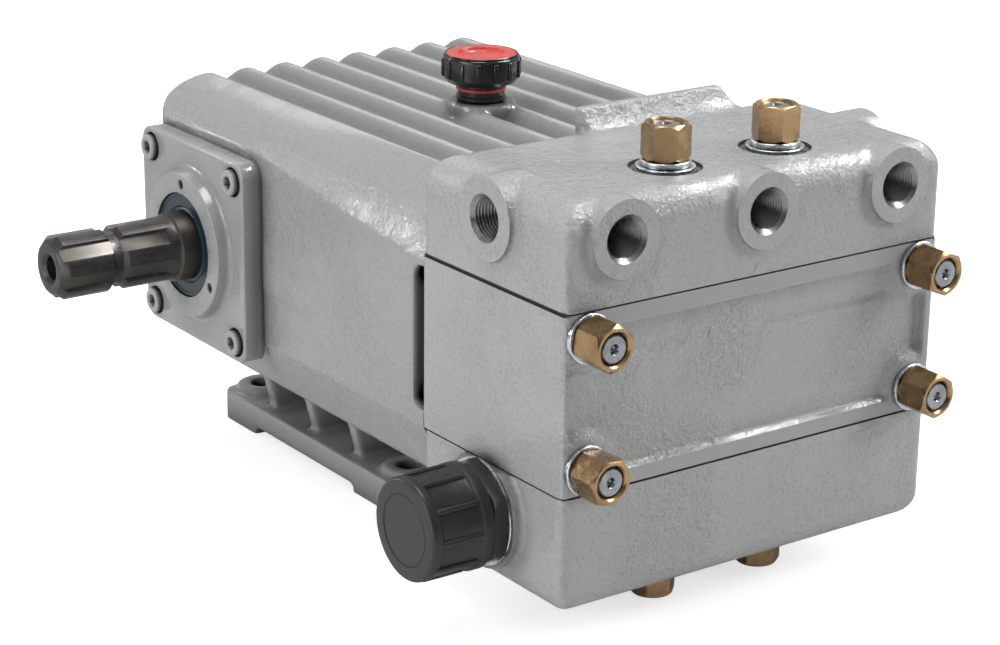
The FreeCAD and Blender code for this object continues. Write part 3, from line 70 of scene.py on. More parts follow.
# Way from which the room is brightest.
BRIGHT_WAY = (0.4, 0.52, 0.755)
TURNS = {
    "+z": (0, 0, 0),
    "-z": (math.pi, 0, 0),
    "-y": (math.pi / 2, 0, 0),
    "+y": (-math.pi / 2, 0, 0),
    "+x": (0, math.pi / 2, 0),
    "-x": (0, -math.pi / 2, 0),
}
WAYS = {
    "+z": Vector((0, 0, 1)),
    "-z": Vector((0, 0, -1)),
    "-y": Vector((0, -1, 0)),
    "+y": Vector((0, 1, 0)),
    "+x": Vector((1, 0, 0)),
    "-x": Vector((-1, 0, 0)),
}


# Properties

def length(name, description, millimetres):
    """A length that the user may change, kept in metres."""
    return bpy.props.FloatProperty(name=name, description=description, default=millimetres * MM, min=0.0,
                                   unit="LENGTH", precision=5)


def tint(name, description, colour):
    """A colour that the user may change."""
    return bpy.props.FloatVectorProperty(name=name, description=description, default=colour, size=3, min=0.0,
                                         max=1.0, subtype="COLOR")


def turn(name, description, degrees):
    """An angle that the user may change, kept in radians."""
    return bpy.props.FloatProperty(name=name, description=description, default=math.radians(degrees),
                                   unit="ROTATION")


def number(name, description, value):
    """A plain number that the user may change."""
    return bpy.props.FloatProperty(name=name, description=description, default=value, min=0.0)


def count(name, description, value):
    """A number of pieces that the user may change."""
    return bpy.props.IntProperty(name=name, description=description, default=value, min=1)


class PumpCastings(bpy.types.PropertyGroup):
    """Sizes of what the sand moulds and the machine shop leave on the castings."""
    case_cell: length("Crankcase cell", "Cell on which the crankcase is softened", 1.5)
    head_cell: length("Manifold cell", "Cell on which the manifolds are softened", 1.25)
    overrun: length("Overrun", "How far a casting runs past a face before the face is cut", 5.0)
    port_boss: length("Front port boss", "Radius of the front ports' discs", 18.6)
    side_boss: length("Side port boss", "Radius of the side ports' discs", 20.2)
    end_boss: length("Suction boss", "Radius of the bosses at the suction manifold's ends", 28.2)
    mouth: length("Port mouth", "Radius of a port's chamfered mouth", 11.5)
    thread_crest: length("Thread crest", "Inner radius of a port's thread", 9.5)
    thread_depth: length("Thread depth", "Depth of a port's thread", 0.85)
    thread_pitch: length("Thread pitch", "Spacing of a port's threads", 1.814)
    port_depth: length("Port depth", "Length of a port's thread", 22.0)
    spotface: length("Spot face", "Radius of the seats round the upright nuts", 17.6)
    seam: length("Seam", "Height of the dark edge at the upper gasket", 0.6)
    web_end: length("Web end", "Where the raised web's crest ends on the right", 62.5)
    web_fall: length("Web fall", "Run of the slope at the web's end", 6.5)
    web_drop: length("Web drop", "Depth of the slope's foot under the web's crest", 10.2)
    panel_left: length("Panel left", "Gap on the left of the front panel", 2.0)
    panel_right: length("Panel right", "Rim on the right of the front panel", 6.0)
    panel_top: length("Panel top", "Machined strip above the front panel", 9.2)
    panel_low: length("Panel foot", "Machined strip under the front panel", 8.4)
    panel_depth: length("Panel depth", "Depth of the front panel", 4.2)
    panel_boss: length("Panel boss", "Radius of the bosses under the front nuts", 13.6)
    cover_back: length("Cover back", "Distance of the bearing covers' backs from the middle", 112.75)
    cover_face: length("Cover face", "Distance of the bearing covers' faces from the middle", 124.75)
    cover_corner: length("Cover corner", "Rounding of the bearing covers' corners", 8.0)
    hole_ring: length("Boss holes", "Radius on which the boss's small holes lie", 33.6)
    rear_corner: length("Rear corner", "Rounding of the rear cover's corners", 14.0)


class PumpFittings(bpy.types.PropertyGroup):
    """Sizes of nuts, screws, caps and the shaft."""
    nut_flats: length("Nut", "Width across the nuts' flats", 20.4)
    nut_face: length("Nut face", "Radius of a nut's flat end inside its chamfer", 9.9)
    stud: length("Stud", "Radius of the studs", 7.0)
    washer: length("Flat washer", "Radius of the upright studs' flat washers", 14.2)
    washer_depth: length("Flat washer depth", "Thickness of a flat washer", 1.8)
    lock_washer: length("Lock washer", "Radius of the lock washers", 12.1)
    lock_depth: length("Lock washer depth", "Thickness of a lock washer", 2.8)
    screw_head: length("Screw head", "Radius of the covers' socket screws", 6.8)
    screw_socket: length("Screw socket", "Width of the screws' hexagon sockets", 6.4)
    screw_square: length("Screw square", "Spacing of the cover screws", 88.7)
    screw_sunk: length("Screw seat", "Depth of the cover screws' seats", 6.7)
    rear_screw: length("Rear screw", "Radius of the rear cover's screws", 6.5)
    shaft: length("Shaft", "Radius of the shaft over its teeth", 17.4)
    splined: length("Splined end", "Length of the shaft's end outside its collar", 68.5)
    groove: length("Locking groove", "Distance of the locking groove from the shaft's tip", 34.0)
    spline_root: length("Spline root", "Radius of the shaft between its teeth", 14.8)
    spline_tooth: length("Spline tooth", "Width of a spline tooth", 8.6)
    spline_turn: turn("Spline turn", "Turn of the first space between the teeth", 69.5)
    spline_count: count("Spline teeth", "Number of spline teeth", 6)
    hob: length("Hob", "Radius of the hob that ends the spaces", 26.0)
    cap_ribs: count("Suction cap ribs", "Grip ribs round the suction cap", 10)
    filler_ribs: count("Filler cap ribs", "Grip ribs round the filler cap", 14)


class PumpColours(bpy.types.PropertyGroup):
    """Colours of the pump's finishes."""
    case_paint: tint("Crankcase paint", "Paint of the crankcase and its covers", (0.318, 0.332, 0.325))
    head_paint: tint("Manifold paint", "Paint of the fluid end", (0.362, 0.375, 0.376))
    brass: tint("Brass", "Brass of the nuts", (0.4, 0.26, 0.137))
    zinc: tint("Zinc", "Zinc of washers and studs", (0.58, 0.61, 0.64))
    dark_steel: tint("Dark steel", "Oiled steel of the shaft and screws", (0.06, 0.056, 0.056))
    bare_steel: tint("Bare steel", "Ground steel of the shaft's collar", (0.085, 0.079, 0.072))
    black_plastic: tint("Black plastic", "Plastic of the suction cap", (0.017, 0.017, 0.019))
    gloss_black_plastic: tint("Gloss black", "Plastic of the filler cap", (0.014, 0.014, 0.016))
    red_plastic: tint("Red plastic", "Plastic of the filler cap's insert", (0.62, 0.055, 0.035))
    seal_rubber: tint("Seal rubber", "Rubber of the oil seal", (0.004, 0.02, 0.04))
    oil: tint("Oil", "Oil behind the sight glass", (0.45, 0.24, 0.05))


class PumpStage(bpy.types.PropertyGroup):
    """The camera and the studio."""
    camera_place: bpy.props.FloatVectorProperty(name="Camera", description="Where the camera stands",
                                                default=(-0.7643, -1.14682, 0.53008), size=3, unit="LENGTH")
    camera_yaw: turn("Yaw", "Turn of the camera about the upright", -35.50034)
    camera_pitch: turn("Pitch", "Height of the camera's view", 18.56658)
    camera_roll: turn("Roll", "Tilt of the camera", 0.66947)
    camera_lens: number("Lens", "Focal length in millimetres on a 36 mm wide sensor", 92.58)
    top_box: number("Top light", "Power of the soft box over the pump, in watts", 10.5)
    left_box: number("Left light", "Power of the soft box at the shaft's side, in watts", 9.0)
    low_box: number("Low light", "Power of the soft box near the floor, in watts", 2.5)
    right_box: number("Right light", "Power of the soft box at the far side, in watts", 12.0)
    rear_strip: number("Rear strip", "Power of the light behind the pump, in watts", 2.0)
    edge_box: number("Edge light", "Power of the light along the upper front edge, in watts", 38.0)
    rear_spot: number("Rear spot", "Power of the low light behind the shaft's side, in watts", 4.2)
    fill: number("Fill", "Strength of the room's own light", 0.3)


# Modelling

def lay_down():
    """Leaves edit mode and lets go of every object."""
    if bpy.context.object and bpy.context.object.mode != "OBJECT":
        bpy.ops.object.mode_set(mode="OBJECT")
    bpy.ops.object.select_all(action="DESELECT")


def take(*objs):
    """Takes up these objects and nothing else, the first as the active one."""
    lay_down()
    for obj in objs:
        obj.select_set(True)
    bpy.context.view_layer.objects.active = objs[0]


def settle(name):
    """Names the object in hand and moves its place into its mesh."""
    obj = bpy.context.object
    obj.name = name
    obj.data.name = name
    bpy.ops.object.transform_apply(location=True, rotation=True, scale=True)
    return obj


def stand(obj, place, axis):
    """Turns an upright piece onto an axis and moves it to its place."""
    take(obj)
    obj.rotation_euler = TURNS[axis]
    obj.location = place
    return settle(obj.name)


def copy_of(obj, name, place=(0, 0, 0), axis="+z"):
    """A copy with its own mesh, stood at its place."""
    take(obj)
    bpy.ops.object.duplicate()
    twin = bpy.context.object
    twin.name = name
    return stand(twin, place, axis)


def spun(obj, total, start=0.0):
    """Copies of an object spread round the upright axis, which take its place."""
    copies = []
    for step in range(total):
        take(obj)
        bpy.ops.object.duplicate()
        bpy.context.object.rotation_euler = (0, 0, start + 2 * math.pi * step / total)
        copies.append(settle("%s_%d" % (obj.name, step)))
    discard(obj)
    return copies


def joined(name, pieces):
    """Several pieces as one object."""
    take(*pieces)
    if len(pieces) > 1:
        bpy.ops.object.join()
    return settle(name)


def discard(*objs):
    """Takes patterns and tools away again."""
    for obj in objs:
        bpy.data.objects.remove(obj)


def finished(obj, kind, **settings):
    """One modifier, set and applied."""
    take(obj)
    bpy.ops.object.modifier_add(type=kind)
    added = obj.modifiers[-1]
    for key, value in settings.items():
        setattr(added, key, value)
    bpy.ops.object.modifier_apply(modifier=added.name)
    return obj


def merged(obj):
    """Makes one vertex of those in one place, so that empty faces go."""
    whole(obj)
    bpy.ops.mesh.remove_doubles(threshold=WELD)
    lay_down()
    return obj


def soften(obj, width, segments=2, angle=30):
    """A small round along every edge that is sharper than the angle."""
    return finished(obj, "BEVEL", width=width * MM, segments=segments, limit_method="ANGLE",
                    angle_limit=math.radians(angle))


def combine(obj, tool, operation="DIFFERENCE"):
    """Cuts, joins or crosses an object with a tool, which is used up."""
    finished(obj, "BOOLEAN", object=tool, operation=operation, solver="EXACT")
    discard(tool)
    return obj


def pick(obj, test, kind="FACE"):
    """Opens an object with only those faces or edges selected that pass the test."""
    take(obj)
    bpy.ops.object.mode_set(mode="EDIT")
    bpy.ops.mesh.select_mode(type=kind)
    bpy.ops.mesh.select_all(action="DESELECT")
    mesh = bmesh.from_edit_mesh(obj.data)
    for element in mesh.faces if kind == "FACE" else mesh.edges:
        element.select_set(bool(test(element)))
    mesh.select_flush_mode()
    bmesh.update_edit_mesh(obj.data)


def whole(obj):
    """Opens an object with its whole mesh selected."""
    take(obj)
    bpy.ops.object.mode_set(mode="EDIT")
    bpy.ops.mesh.select_mode(type="VERT")
    bpy.ops.mesh.select_all(action="SELECT")


def round_edges(obj, test, radius, segments):
    """Rounds the edges that pass the test."""
    pick(obj, test, "EDGE")
    bpy.ops.mesh.bevel(offset=radius, segments=segments)
    lay_down()
    return obj


def runs_along(axis):
    """A test for edges along one axis, 0 to 2 for X to Z."""
    def test(edge):
        run = edge.verts[1].co - edge.verts[0].co
        return abs(run[axis]) > 0.99 * run.length
    return test


def block(name, low, high):
    """A block between two corners."""
    lay_down()
    low = Vector(low)
    high = Vector(high)
    bpy.ops.mesh.primitive_cube_add(size=1, location=(low + high) / 2, scale=high - low)
    return settle(name)


def rod(name, start, axis, radius, reach, sides=72):
    """A plain round bar from its start along an axis."""
    lay_down()
    bpy.ops.mesh.primitive_cylinder_add(vertices=sides, radius=radius, depth=reach, rotation=TURNS[axis],
                                        location=Vector(start) + WAYS[axis] * reach / 2)
    return settle(name)


def sunk(name, place, axis, radius, depth, rise):
    """A round bar through a face: its depth under the place, its rise over it."""
    return rod(name, place - WAYS[axis] * depth, axis, radius, depth + rise)


def hexagon(name, flats, height, turned_by=math.pi / 6):
    """An upright six-sided prism at the origin by its width across flats."""
    lay_down()
    bpy.ops.mesh.primitive_cylinder_add(vertices=6, radius=flats / 2 / math.cos(math.pi / 6), depth=height,
                                        location=(0, 0, height / 2), rotation=(0, 0, turned_by))
    return settle(name)


def turned(name, steps, place=(0, 0, 0), axis="+z", sides=72, ring=False):
    """A turned piece: a circle drawn out through (radius, height) steps in millimetres. A ring's steps close."""
    lay_down()
    radius, height = steps[0]
    bpy.ops.mesh.primitive_circle_add(vertices=sides, radius=radius * MM, location=(0, 0, height * MM),
                                      fill_type="NOTHING" if ring else "NGON")
    obj = settle(name)
    whole(obj)
    for next_radius, next_height in steps[1:]:
        rise = (0, 0, (next_height - height) * MM)
        bpy.ops.mesh.extrude_region_move(TRANSFORM_OT_translate={"value": rise})
        grow = next_radius / radius
        bpy.ops.transform.resize(value=(grow, grow, 1), center_override=(0, 0, next_height * MM))
        radius, height = next_radius, next_height
    bpy.ops.mesh.select_all(action="SELECT")
    if ring:
        bpy.ops.mesh.remove_doubles(threshold=WELD)
    bpy.ops.mesh.normals_make_consistent(inside=False)
    return stand(obj, place, axis)


def arc(radius, height, rounding, start, end, parts=5):
    """Steps of a rounded corner about its centre, from one angle to another in degrees."""
    angles = [math.radians(start + (end - start) * part / parts) for part in range(parts + 1)]
    return [(radius + rounding * math.cos(angle), height + rounding * math.sin(angle)) for angle in angles]


def seam(obj, foot, top, side_inset, front_inset):
    """Cuts a shallow groove round a casting where it meets its gasket."""
    low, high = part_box("valve_block")
    clear = 5 * MM
    ring = block("ring", (low.x - clear, low.y - clear, foot), (high.x + clear, high.y + clear, top))
    core = block("core", (low.x + side_inset, low.y + front_inset, foot - MM),
                 (high.x - side_inset, high.y + clear + MM, top + MM))
    combine(ring, round_edges(core, runs_along(2), 3 * MM, 4))
    return combine(obj, ring)


def darken(obj, foot, top):
    """Shows the gasket's board in a groove between two heights, away from the front."""
    obj.data.materials.append(material("gasket"))
    margin = 0.02 * MM
    for face in obj.data.polygons:
        if foot - margin < face.center.z < top + margin and face.normal.y > -0.5:
            face.material_index = len(obj.data.materials) - 1


def welded(node):
    """A copy of a CAD node's mesh with its loose triangles merged."""
    obj = bpy.data.objects.new(node + "_cast", frame["nodes"][node].data.copy())
    bpy.context.collection.objects.link(obj)
    obj.data.name = obj.name
    obj.data.materials.clear()
    return merged(obj)


def run_out(obj, node, axis, shift, flat=0.9):
    """Moves the faces at one end of a CAD node's copy out along an axis."""
    way = WAYS[axis]
    end = max(corner.dot(way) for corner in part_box(node)) - MM
    pick(obj, lambda face: face.normal.dot(way) > flat and face.calc_center_median().dot(way) > end)
    bpy.ops.transform.translate(value=way * shift)
    lay_down()
    return obj


def trim(obj, place, normal):
    """Cuts off what lies beyond a plane and closes the cut."""
    whole(obj)
    bpy.ops.mesh.bisect(plane_co=place, plane_no=normal, use_fill=True, clear_outer=True)
    lay_down()
    return obj


def faced(obj, node, *axes):
    """Cuts off what a casting has beyond its CAD node's box on the sides to which the axes lead."""
    low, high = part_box(node)
    for axis in axes:
        trim(obj, low if axis[0] == "-" else high, WAYS[axis])
    return obj


def cast(obj, cell, rounds):
    """Runs all closed parts of an object together and softens it as sand and paint leave a casting."""
    finished(obj, "REMESH", mode="VOXEL", voxel_size=cell)
    return finished(obj, "SMOOTH", factor=0.5, iterations=rounds)


def lighten(obj, most):
    """Brings a mesh under a number of triangles, mostly on its flat faces."""
    triangles = sum(len(face.vertices) - 2 for face in obj.data.polygons)
    if triangles > most:
        finished(obj, "DECIMATE", ratio=most / triangles)
    return obj


def dress(obj, finish, nodes=(), body=HOUSING, angle=32):
    """Gives a piece its finish, its body and the CAD nodes that it stands for."""
    take(obj)
    bpy.ops.object.shade_smooth_by_angle(angle=math.radians(angle))
    obj.data.materials.clear()
    obj.data.materials.append(material(finish))
    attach(obj, body)
    if nodes:
        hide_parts(*nodes)
    return obj


def middle(node):
    """Middle of a CAD node's box."""
    low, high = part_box(node)
    return (low + high) / 2


def at_side(place, node, axis):
    """A place moved onto the side of a CAD node's box to which the axis leads."""
    index = "xyz".index(axis[1])
    place[index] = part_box(node)[axis[0] == "+"][index]
    return place


def seat(node, axis):
    """Middle of the side of a CAD node's box from which the axis leads inwards."""
    return at_side(middle(node), node, ("-" if axis[0] == "+" else "+") + axis[1])


def reach_of(node, axis):
    """Length of a CAD node's box along an axis, in millimetres."""
    low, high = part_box(node)
    return abs((high - low).dot(WAYS[axis])) / MM


def ports():
    """Mouth and way out of each threaded port."""
    found = []
    for mount in frame["record"]["mounts"]:
        if mount["name"].startswith("delivery_port"):
            axis = next(key for key, way in WAYS.items() if way.dot(Vector(mount["axis"])) > 0.9)
            found.append((at_side(Vector(mount["pos_m"]), "delivery_manifold", axis), axis))
    return found


# Finishes

class Value:
    """The output of a shader node, on which sums are written as on paper."""

    def __init__(self, mixer, socket):
        self.mixer = mixer
        self.socket = socket

    def sum(self, operation, other):
        return self.mixer.node("ShaderNodeMath", {"operation": operation}, {0: self, 1: other})

    def __add__(self, other):
        return self.sum("ADD", other)

    def __mul__(self, other):
        return self.sum("MULTIPLY", other)


class Mixer:
    """A tree of shader nodes."""

    def __init__(self, tree):
        self.tree = tree

    def connect(self, socket, value):
        """Sets a socket, or links it."""
        if isinstance(value, Value):
            self.tree.links.new(value.socket, socket)
        elif hasattr(socket.default_value, "__len__") and len(value) < len(socket.default_value):
            socket.default_value = (*value, 1.0)
        else:
            socket.default_value = value

    def node(self, kind, settings=None, inputs=None, output=0):
        """A node with its settings, then its sockets' values or links. Gives one of its outputs."""
        made = self.tree.nodes.new(kind)
        for key, value in (settings or {}).items():
            if key == "stops":
                ramp = made.color_ramp
                while len(ramp.elements) < len(value):
                    ramp.elements.new(1.0)
                for element, (position, grey) in zip(ramp.elements, value):
                    element.position = position
                    element.color = (grey, grey, grey, 1.0)
            else:
                setattr(made, key, value)
        for key, value in (inputs or {}).items():
            self.connect(made.inputs[key], value)
        return Value(self, made.outputs[output])


class Finish(Mixer):
    """A finish being mixed: its material, shader and patterns."""

    def __init__(self, name):
        self.material = bpy.data.materials.new(PREFIX + name)
        self.material.use_nodes = True
        super().__init__(self.material.node_tree)
        self.shader = self.tree.nodes["Principled BSDF"]
        self.place = self.node("ShaderNodeTexCoord", output="Object")

    def feed(self, name, value):
        """Sets one of the shader's sockets, or links it."""
        self.connect(self.shader.inputs[name], value)

    def noise(self, scale, detail=2.0, roughness=0.5, distortion=0.0, stretch=None):
        """A cloudy pattern; scale counts its lumps in a metre, stretch draws it out along an axis."""
        place = self.place
        if stretch:
            place = self.node("ShaderNodeMapping", None, {"Vector": place, "Scale": stretch})
        return self.node("ShaderNodeTexNoise", None, {"Vector": place, "Scale": scale, "Detail": detail,
                                                      "Roughness": roughness, "Distortion": distortion})

    def ramp(self, value, *stops):
        """A value read off a ramp of (position, height) stops."""
        return self.node("ShaderNodeValToRGB", {"stops": stops}, {"Fac": value})

    def between(self, value, low, high):
        """Nothing under the low value and all over the high one."""
        return self.ramp(value, (low, 0.0), (high, 1.0))

    def mix(self, factor, first, second):
        """A blend of two colours."""
        return self.node("ShaderNodeMix", {"data_type": "RGBA"}, {0: factor, 6: first, 7: second}, output=2)

    def corner_shade(self, reach, closed, opened):
        """Painted shade: nothing in corners and all on open faces, read off ambient occlusion; the reach is in
        millimetres.
        """
        shadow = self.node("ShaderNodeAmbientOcclusion", {"samples": 6}, {"Distance": reach * MM}, output="AO")
        return self.between(shadow, closed, opened)

    def surface(self, colour, tone, shades, pattern, rough, clear=None, dark=0.0):
        """Colour between two shades by a tone, with painted shade that takes it to the dark shade where nothing is
        clear; roughness by a pattern.
        """
        mixed = self.mix(tone, shade(colour, shades[0]), shade(colour, shades[1]))
        self.feed("Base Color", self.mix(clear, shade(colour, dark), mixed) if clear else mixed)
        self.feed("Roughness", self.ramp(pattern, *rough))

    def emboss(self, *layers):
        """Raises the surface by (height, distance) layers in millimetres, one over the other."""
        normal = None
        for height, distance in layers:
            inputs = {"Height": height, "Distance": distance * MM, "Strength": 1.0}
            if normal:
                inputs["Normal"] = normal
            normal = self.node("ShaderNodeBump", None, inputs)
        self.feed("Normal", normal)


def shade(colour, factor):
    """A colour made lighter or darker by a factor."""
    return tuple(min(channel * factor, 1.0) for channel in colour)


def paint(finish, colour, grain, gloss, reach, near_sides=False):
    """Gloss paint over a sand casting: orange peel everywhere, casting grain in patches, painted shade in the grain's
    pits and painted shade in the corners.
    """
    waves = finish.noise(45.0)
    lumps = finish.noise(220.0, 2.0, 0.5, 0.5)
    sand = finish.noise(520.0, 3.0, 0.6, 0.3)
    rough = finish.ramp(finish.noise(15.0, 3.0, 0.6), (0.44, 0.3), (0.58, 1.0))
    if near_sides:
        across = finish.node("ShaderNodeSeparateXYZ", None, {0: finish.place})
        rough = rough * finish.ramp(across * across * 60.0, (0.5, 0.15), (0.68, 1.0), (0.79, 1.0), (0.82, 0.1))
    # Colour follows the sand grain's height, as painted shade in its pits; the corner mask paints shade within the
    # reach, down to 0.18 of the colour.
    finish.surface(colour, finish.between(sand, 0.3, 0.5), (0.88, 1.03), sand, ((0.35, gloss), (0.65, gloss + 0.12)),
                   finish.corner_shade(reach, 0.3, 0.95), 0.18)
    finish.emboss((waves, 0.8), (lumps * rough, 1.5 * grain), (sand * rough, 1.4 * grain))


def case_paint(finish, colours):
    """Paint of the crankcase, smooth on its covers and its top."""
    paint(finish, colours.case_paint, 0.5, 0.13, 16.0, True)


def head_paint(finish, colours):
    """Paint of the fluid end."""
    paint(finish, colours.head_paint, 0.85, 0.11, 10.0)


def machined_paint(finish, colours):
    """Thin paint over a machined face."""
    cloud = finish.noise(60.0, 3.0, 0.6)
    finish.surface(colours.head_paint, cloud, (0.86, 1.0), cloud, ((0.3, 0.3), (0.7, 0.42)))
    finish.emboss((finish.noise(900.0), 0.03), (cloud, 0.12))


def gasket(finish, colours):
    """Dark gasket board with a ragged edge."""
    ragged = finish.noise(400.0, 3.0, 0.6)
    finish.feed("Base Color", finish.mix(ragged, (0.012, 0.012, 0.013), (0.035, 0.033, 0.03)))
    finish.feed("Roughness", 0.8)
    finish.emboss((ragged, 0.3))


def brass(finish, colours):
    """Turned brass, tarnished in clouds, with fine drawing lines and painted shade in its corners."""
    finish.feed("Metallic", 1.0)
    cloud = finish.noise(90.0, 3.0, 0.6)
    specks = finish.noise(1400.0, 2.0, 0.6)
    finish.surface(colours.brass, finish.between(cloud, 0.35, 0.7), (0.75, 1.1), cloud * 0.7 + specks * 0.3,
                   ((0.3, 0.17), (0.7, 0.36)), finish.corner_shade(1.5, 0.4, 0.95), 0.35)
    finish.emboss((finish.noise(220.0, stretch=(9.0, 9.0, 1.0)), 0.03), (specks, 0.012))


def plated(finish, colour):
    """Zinc plate, slightly blue, with faint clouds and painted shade in its corners."""
    finish.feed("Metallic", 1.0)
    cloud = finish.noise(160.0, 3.0, 0.6)
    finish.surface(colour, finish.between(cloud, 0.35, 0.65), (0.8, 1.15), cloud, ((0.3, 0.2), (0.7, 0.34)),
                   finish.corner_shade(2.0, 0.3, 0.9), 0.3)
    finish.emboss((finish.noise(1500.0), 0.012))


def zinc(finish, colours):
    """Bright plate of the washers."""
    plated(finish, colours.zinc)


def stud_steel(finish, colours):
    """Duller plate of the studs."""
    plated(finish, shade(colours.zinc, 0.5))


def screw_steel(finish, colours):
    """Socket screws painted with the cover, with painted shade that makes them near black in their sockets and gaps.
    """
    cloud = finish.noise(200.0, 3.0, 0.6)
    finish.surface(colours.case_paint, cloud, (1.0, 1.2), cloud, ((0.3, 0.4), (0.7, 0.6)),
                   finish.corner_shade(4.0, 0.7, 0.92), 0.01)


def dark_steel(finish, colours):
    """Steel dark with oil and scale, brighter where it is rubbed."""
    finish.feed("Metallic", 0.85)
    cloud = finish.noise(110.0, 4.0, 0.65)
    streaks = finish.noise(160.0, 3.0, 0.6, stretch=(1.0, 7.0, 7.0))
    finish.surface(colours.dark_steel, finish.between(cloud * 0.5 + streaks * 0.5, 0.38, 0.66), (0.75, 1.45), streaks,
                   ((0.3, 0.28), (0.7, 0.5)))
    finish.emboss((finish.noise(1200.0, 2.0, 0.6), 0.02), (streaks, 0.04))


def bare_steel(finish, colours):
    """Ground steel with a brown film of oil."""
    finish.feed("Metallic", 1.0)
    cloud = finish.noise(90.0, 3.0, 0.6)
    finish.surface(colours.bare_steel, cloud, (0.7, 1.4), cloud, ((0.3, 0.36), (0.7, 0.5)))
    finish.emboss((finish.noise(120.0, 3.0, 0.6, stretch=(12.0, 1.0, 1.0)), 0.02))


def thread_metal(finish, colours):
    """Cut iron, near black deep in its threads by painted shade, lighter on open faces."""
    finish.feed("Metallic", 0.9)
    cloud = finish.noise(300.0, 3.0, 0.6)
    bright = finish.mix(cloud, (0.16, 0.16, 0.17), (0.34, 0.34, 0.35))
    finish.feed("Base Color", finish.mix(finish.corner_shade(1.6, 0.5, 0.85), (0.012, 0.012, 0.014), bright))
    finish.feed("Roughness", finish.ramp(cloud, (0.3, 0.24), (0.7, 0.4)))
    finish.emboss((finish.noise(1500.0), 0.02))


def sight_glass(finish, colours):
    """A clear lens with oil behind it."""
    depth = finish.noise(60.0)
    finish.feed("Base Color", finish.mix(depth, shade(colours.oil, 0.7), shade(colours.oil, 1.2)))
    finish.feed("Roughness", 0.06)
    finish.emboss((depth, 0.1))


# Roughness of each moulded finish, and the depth of its grain in millimetres.
MOULDED = {"black_plastic": (0.42, 0.03), "gloss_black_plastic": (0.17, 0.006), "red_plastic": (0.38, 0.02),
           "seal_rubber": (0.36, 0.03)}


def moulded(finish, colour, rough, grain):
    """Plastic or rubber: a fine grain, slight flow marks and dust."""
    flow = finish.noise(45.0, 3.0, 0.6)
    finish.surface(colour, finish.between(flow, 0.35, 0.7), (0.85, 1.25), flow,
                   ((0.3, rough * 0.85), (0.7, rough * 1.15)))
    finish.emboss((finish.noise(1500.0), grain), (flow, 0.2))


RECIPES = {recipe.__name__: recipe for recipe in (
    case_paint, head_paint, machined_paint, gasket, brass, zinc, stud_steel, screw_steel, dark_steel, bare_steel,
    thread_metal, sight_glass)}


def material(name):
    """The finish of that name, mixed when it is first asked for."""
    kept = bpy.data.materials.get(PREFIX + name)
    if kept:
        return kept
    finish = Finish(name)
    colours = bpy.context.scene.pump_colours
    if name in MOULDED:
        moulded(finish, getattr(colours, name), *MOULDED[name])
    else:
        RECIPES[name](finish, colours)
    return finish.material


# Castings

# How deep the ports' discs, their holes and the suction bosses reach into the castings.
DISC_DEPTH = 12 * MM
HOLE_DEPTH = 30 * MM
BOSS_DEPTH = 24 * MM
# A plug fills a CAD hole from this far under its mouth to this far past its end.
PLUG_MARGIN = 4 * MM


class PUMP_OT_delivery_manifold(bpy.types.Operator):
    """Delivery manifold: softened casting with machined port faces, spot faces and threaded ports"""
    bl_idname = "pump.delivery_manifold"
    bl_label = "Delivery manifold"

    def execute(self, context):
        sizes = context.scene.pump_castings
        node = "delivery_manifold"
        low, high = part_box(node)
        over = sizes.overrun
        casting = run_out(welded(node), node, "-z", over)
        web_end = block("web_end", (sizes.web_end, -200 * MM, high.z - sizes.web_drop),
                        (76 * MM, -168 * MM, high.z + 2 * MM))
        pick(web_end, lambda edge: all(vertex.co.x < sizes.web_end + MM and vertex.co.z < high.z
                                       for vertex in edge.verts), "EDGE")
        bpy.ops.transform.translate(value=(sizes.web_fall, 0, 0))
        parts = [combine(casting, web_end)]
        tools = []
        for mouth, axis in ports():
            boss = sizes.side_boss if axis[1] == "x" else sizes.port_boss
            parts.append(sunk("boss", mouth, axis, boss, DISC_DEPTH, over))
            parts.append(sunk("plug", mouth, axis, sizes.mouth + 2 * MM, HOLE_DEPTH + PLUG_MARGIN, -PLUG_MARGIN))
        seats = [middle(name) for name in ("top_nut_left", "top_nut_right")]
        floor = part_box("upright_washers")[1].z - context.scene.pump_fittings.washer_depth
        for place in seats:
            parts.append(rod("plug", (place.x, place.y, low.z - over), "+z", sizes.spotface + MM,
                             floor + MM - low.z + over))
        manifold = cast(joined(node + "_cast", parts), sizes.head_cell, 9)
        lighten(faced(manifold, node, "-z", "-y", "-x", "+x"), 130000)
        for mouth, axis in ports():
            tools.append(sunk("hole", mouth, axis, sizes.mouth, HOLE_DEPTH, MM))
        edge = sizes.spotface / MM
        for place in seats:
            tools.append(turned("spot", [(edge, 4.0), (edge, -1.1), (15.2, -1.1), (14.6, 0.0), (1.0, 0.0)],
                                (place.x, place.y, floor)))
        combine(manifold, joined("tools", tools))
        seam(manifold, low.z - MM, low.z + sizes.seam, MM, CLEAR)
        dress(manifold, "head_paint", [node])
        darken(manifold, low.z, low.z + sizes.seam)
        return {"FINISHED"}


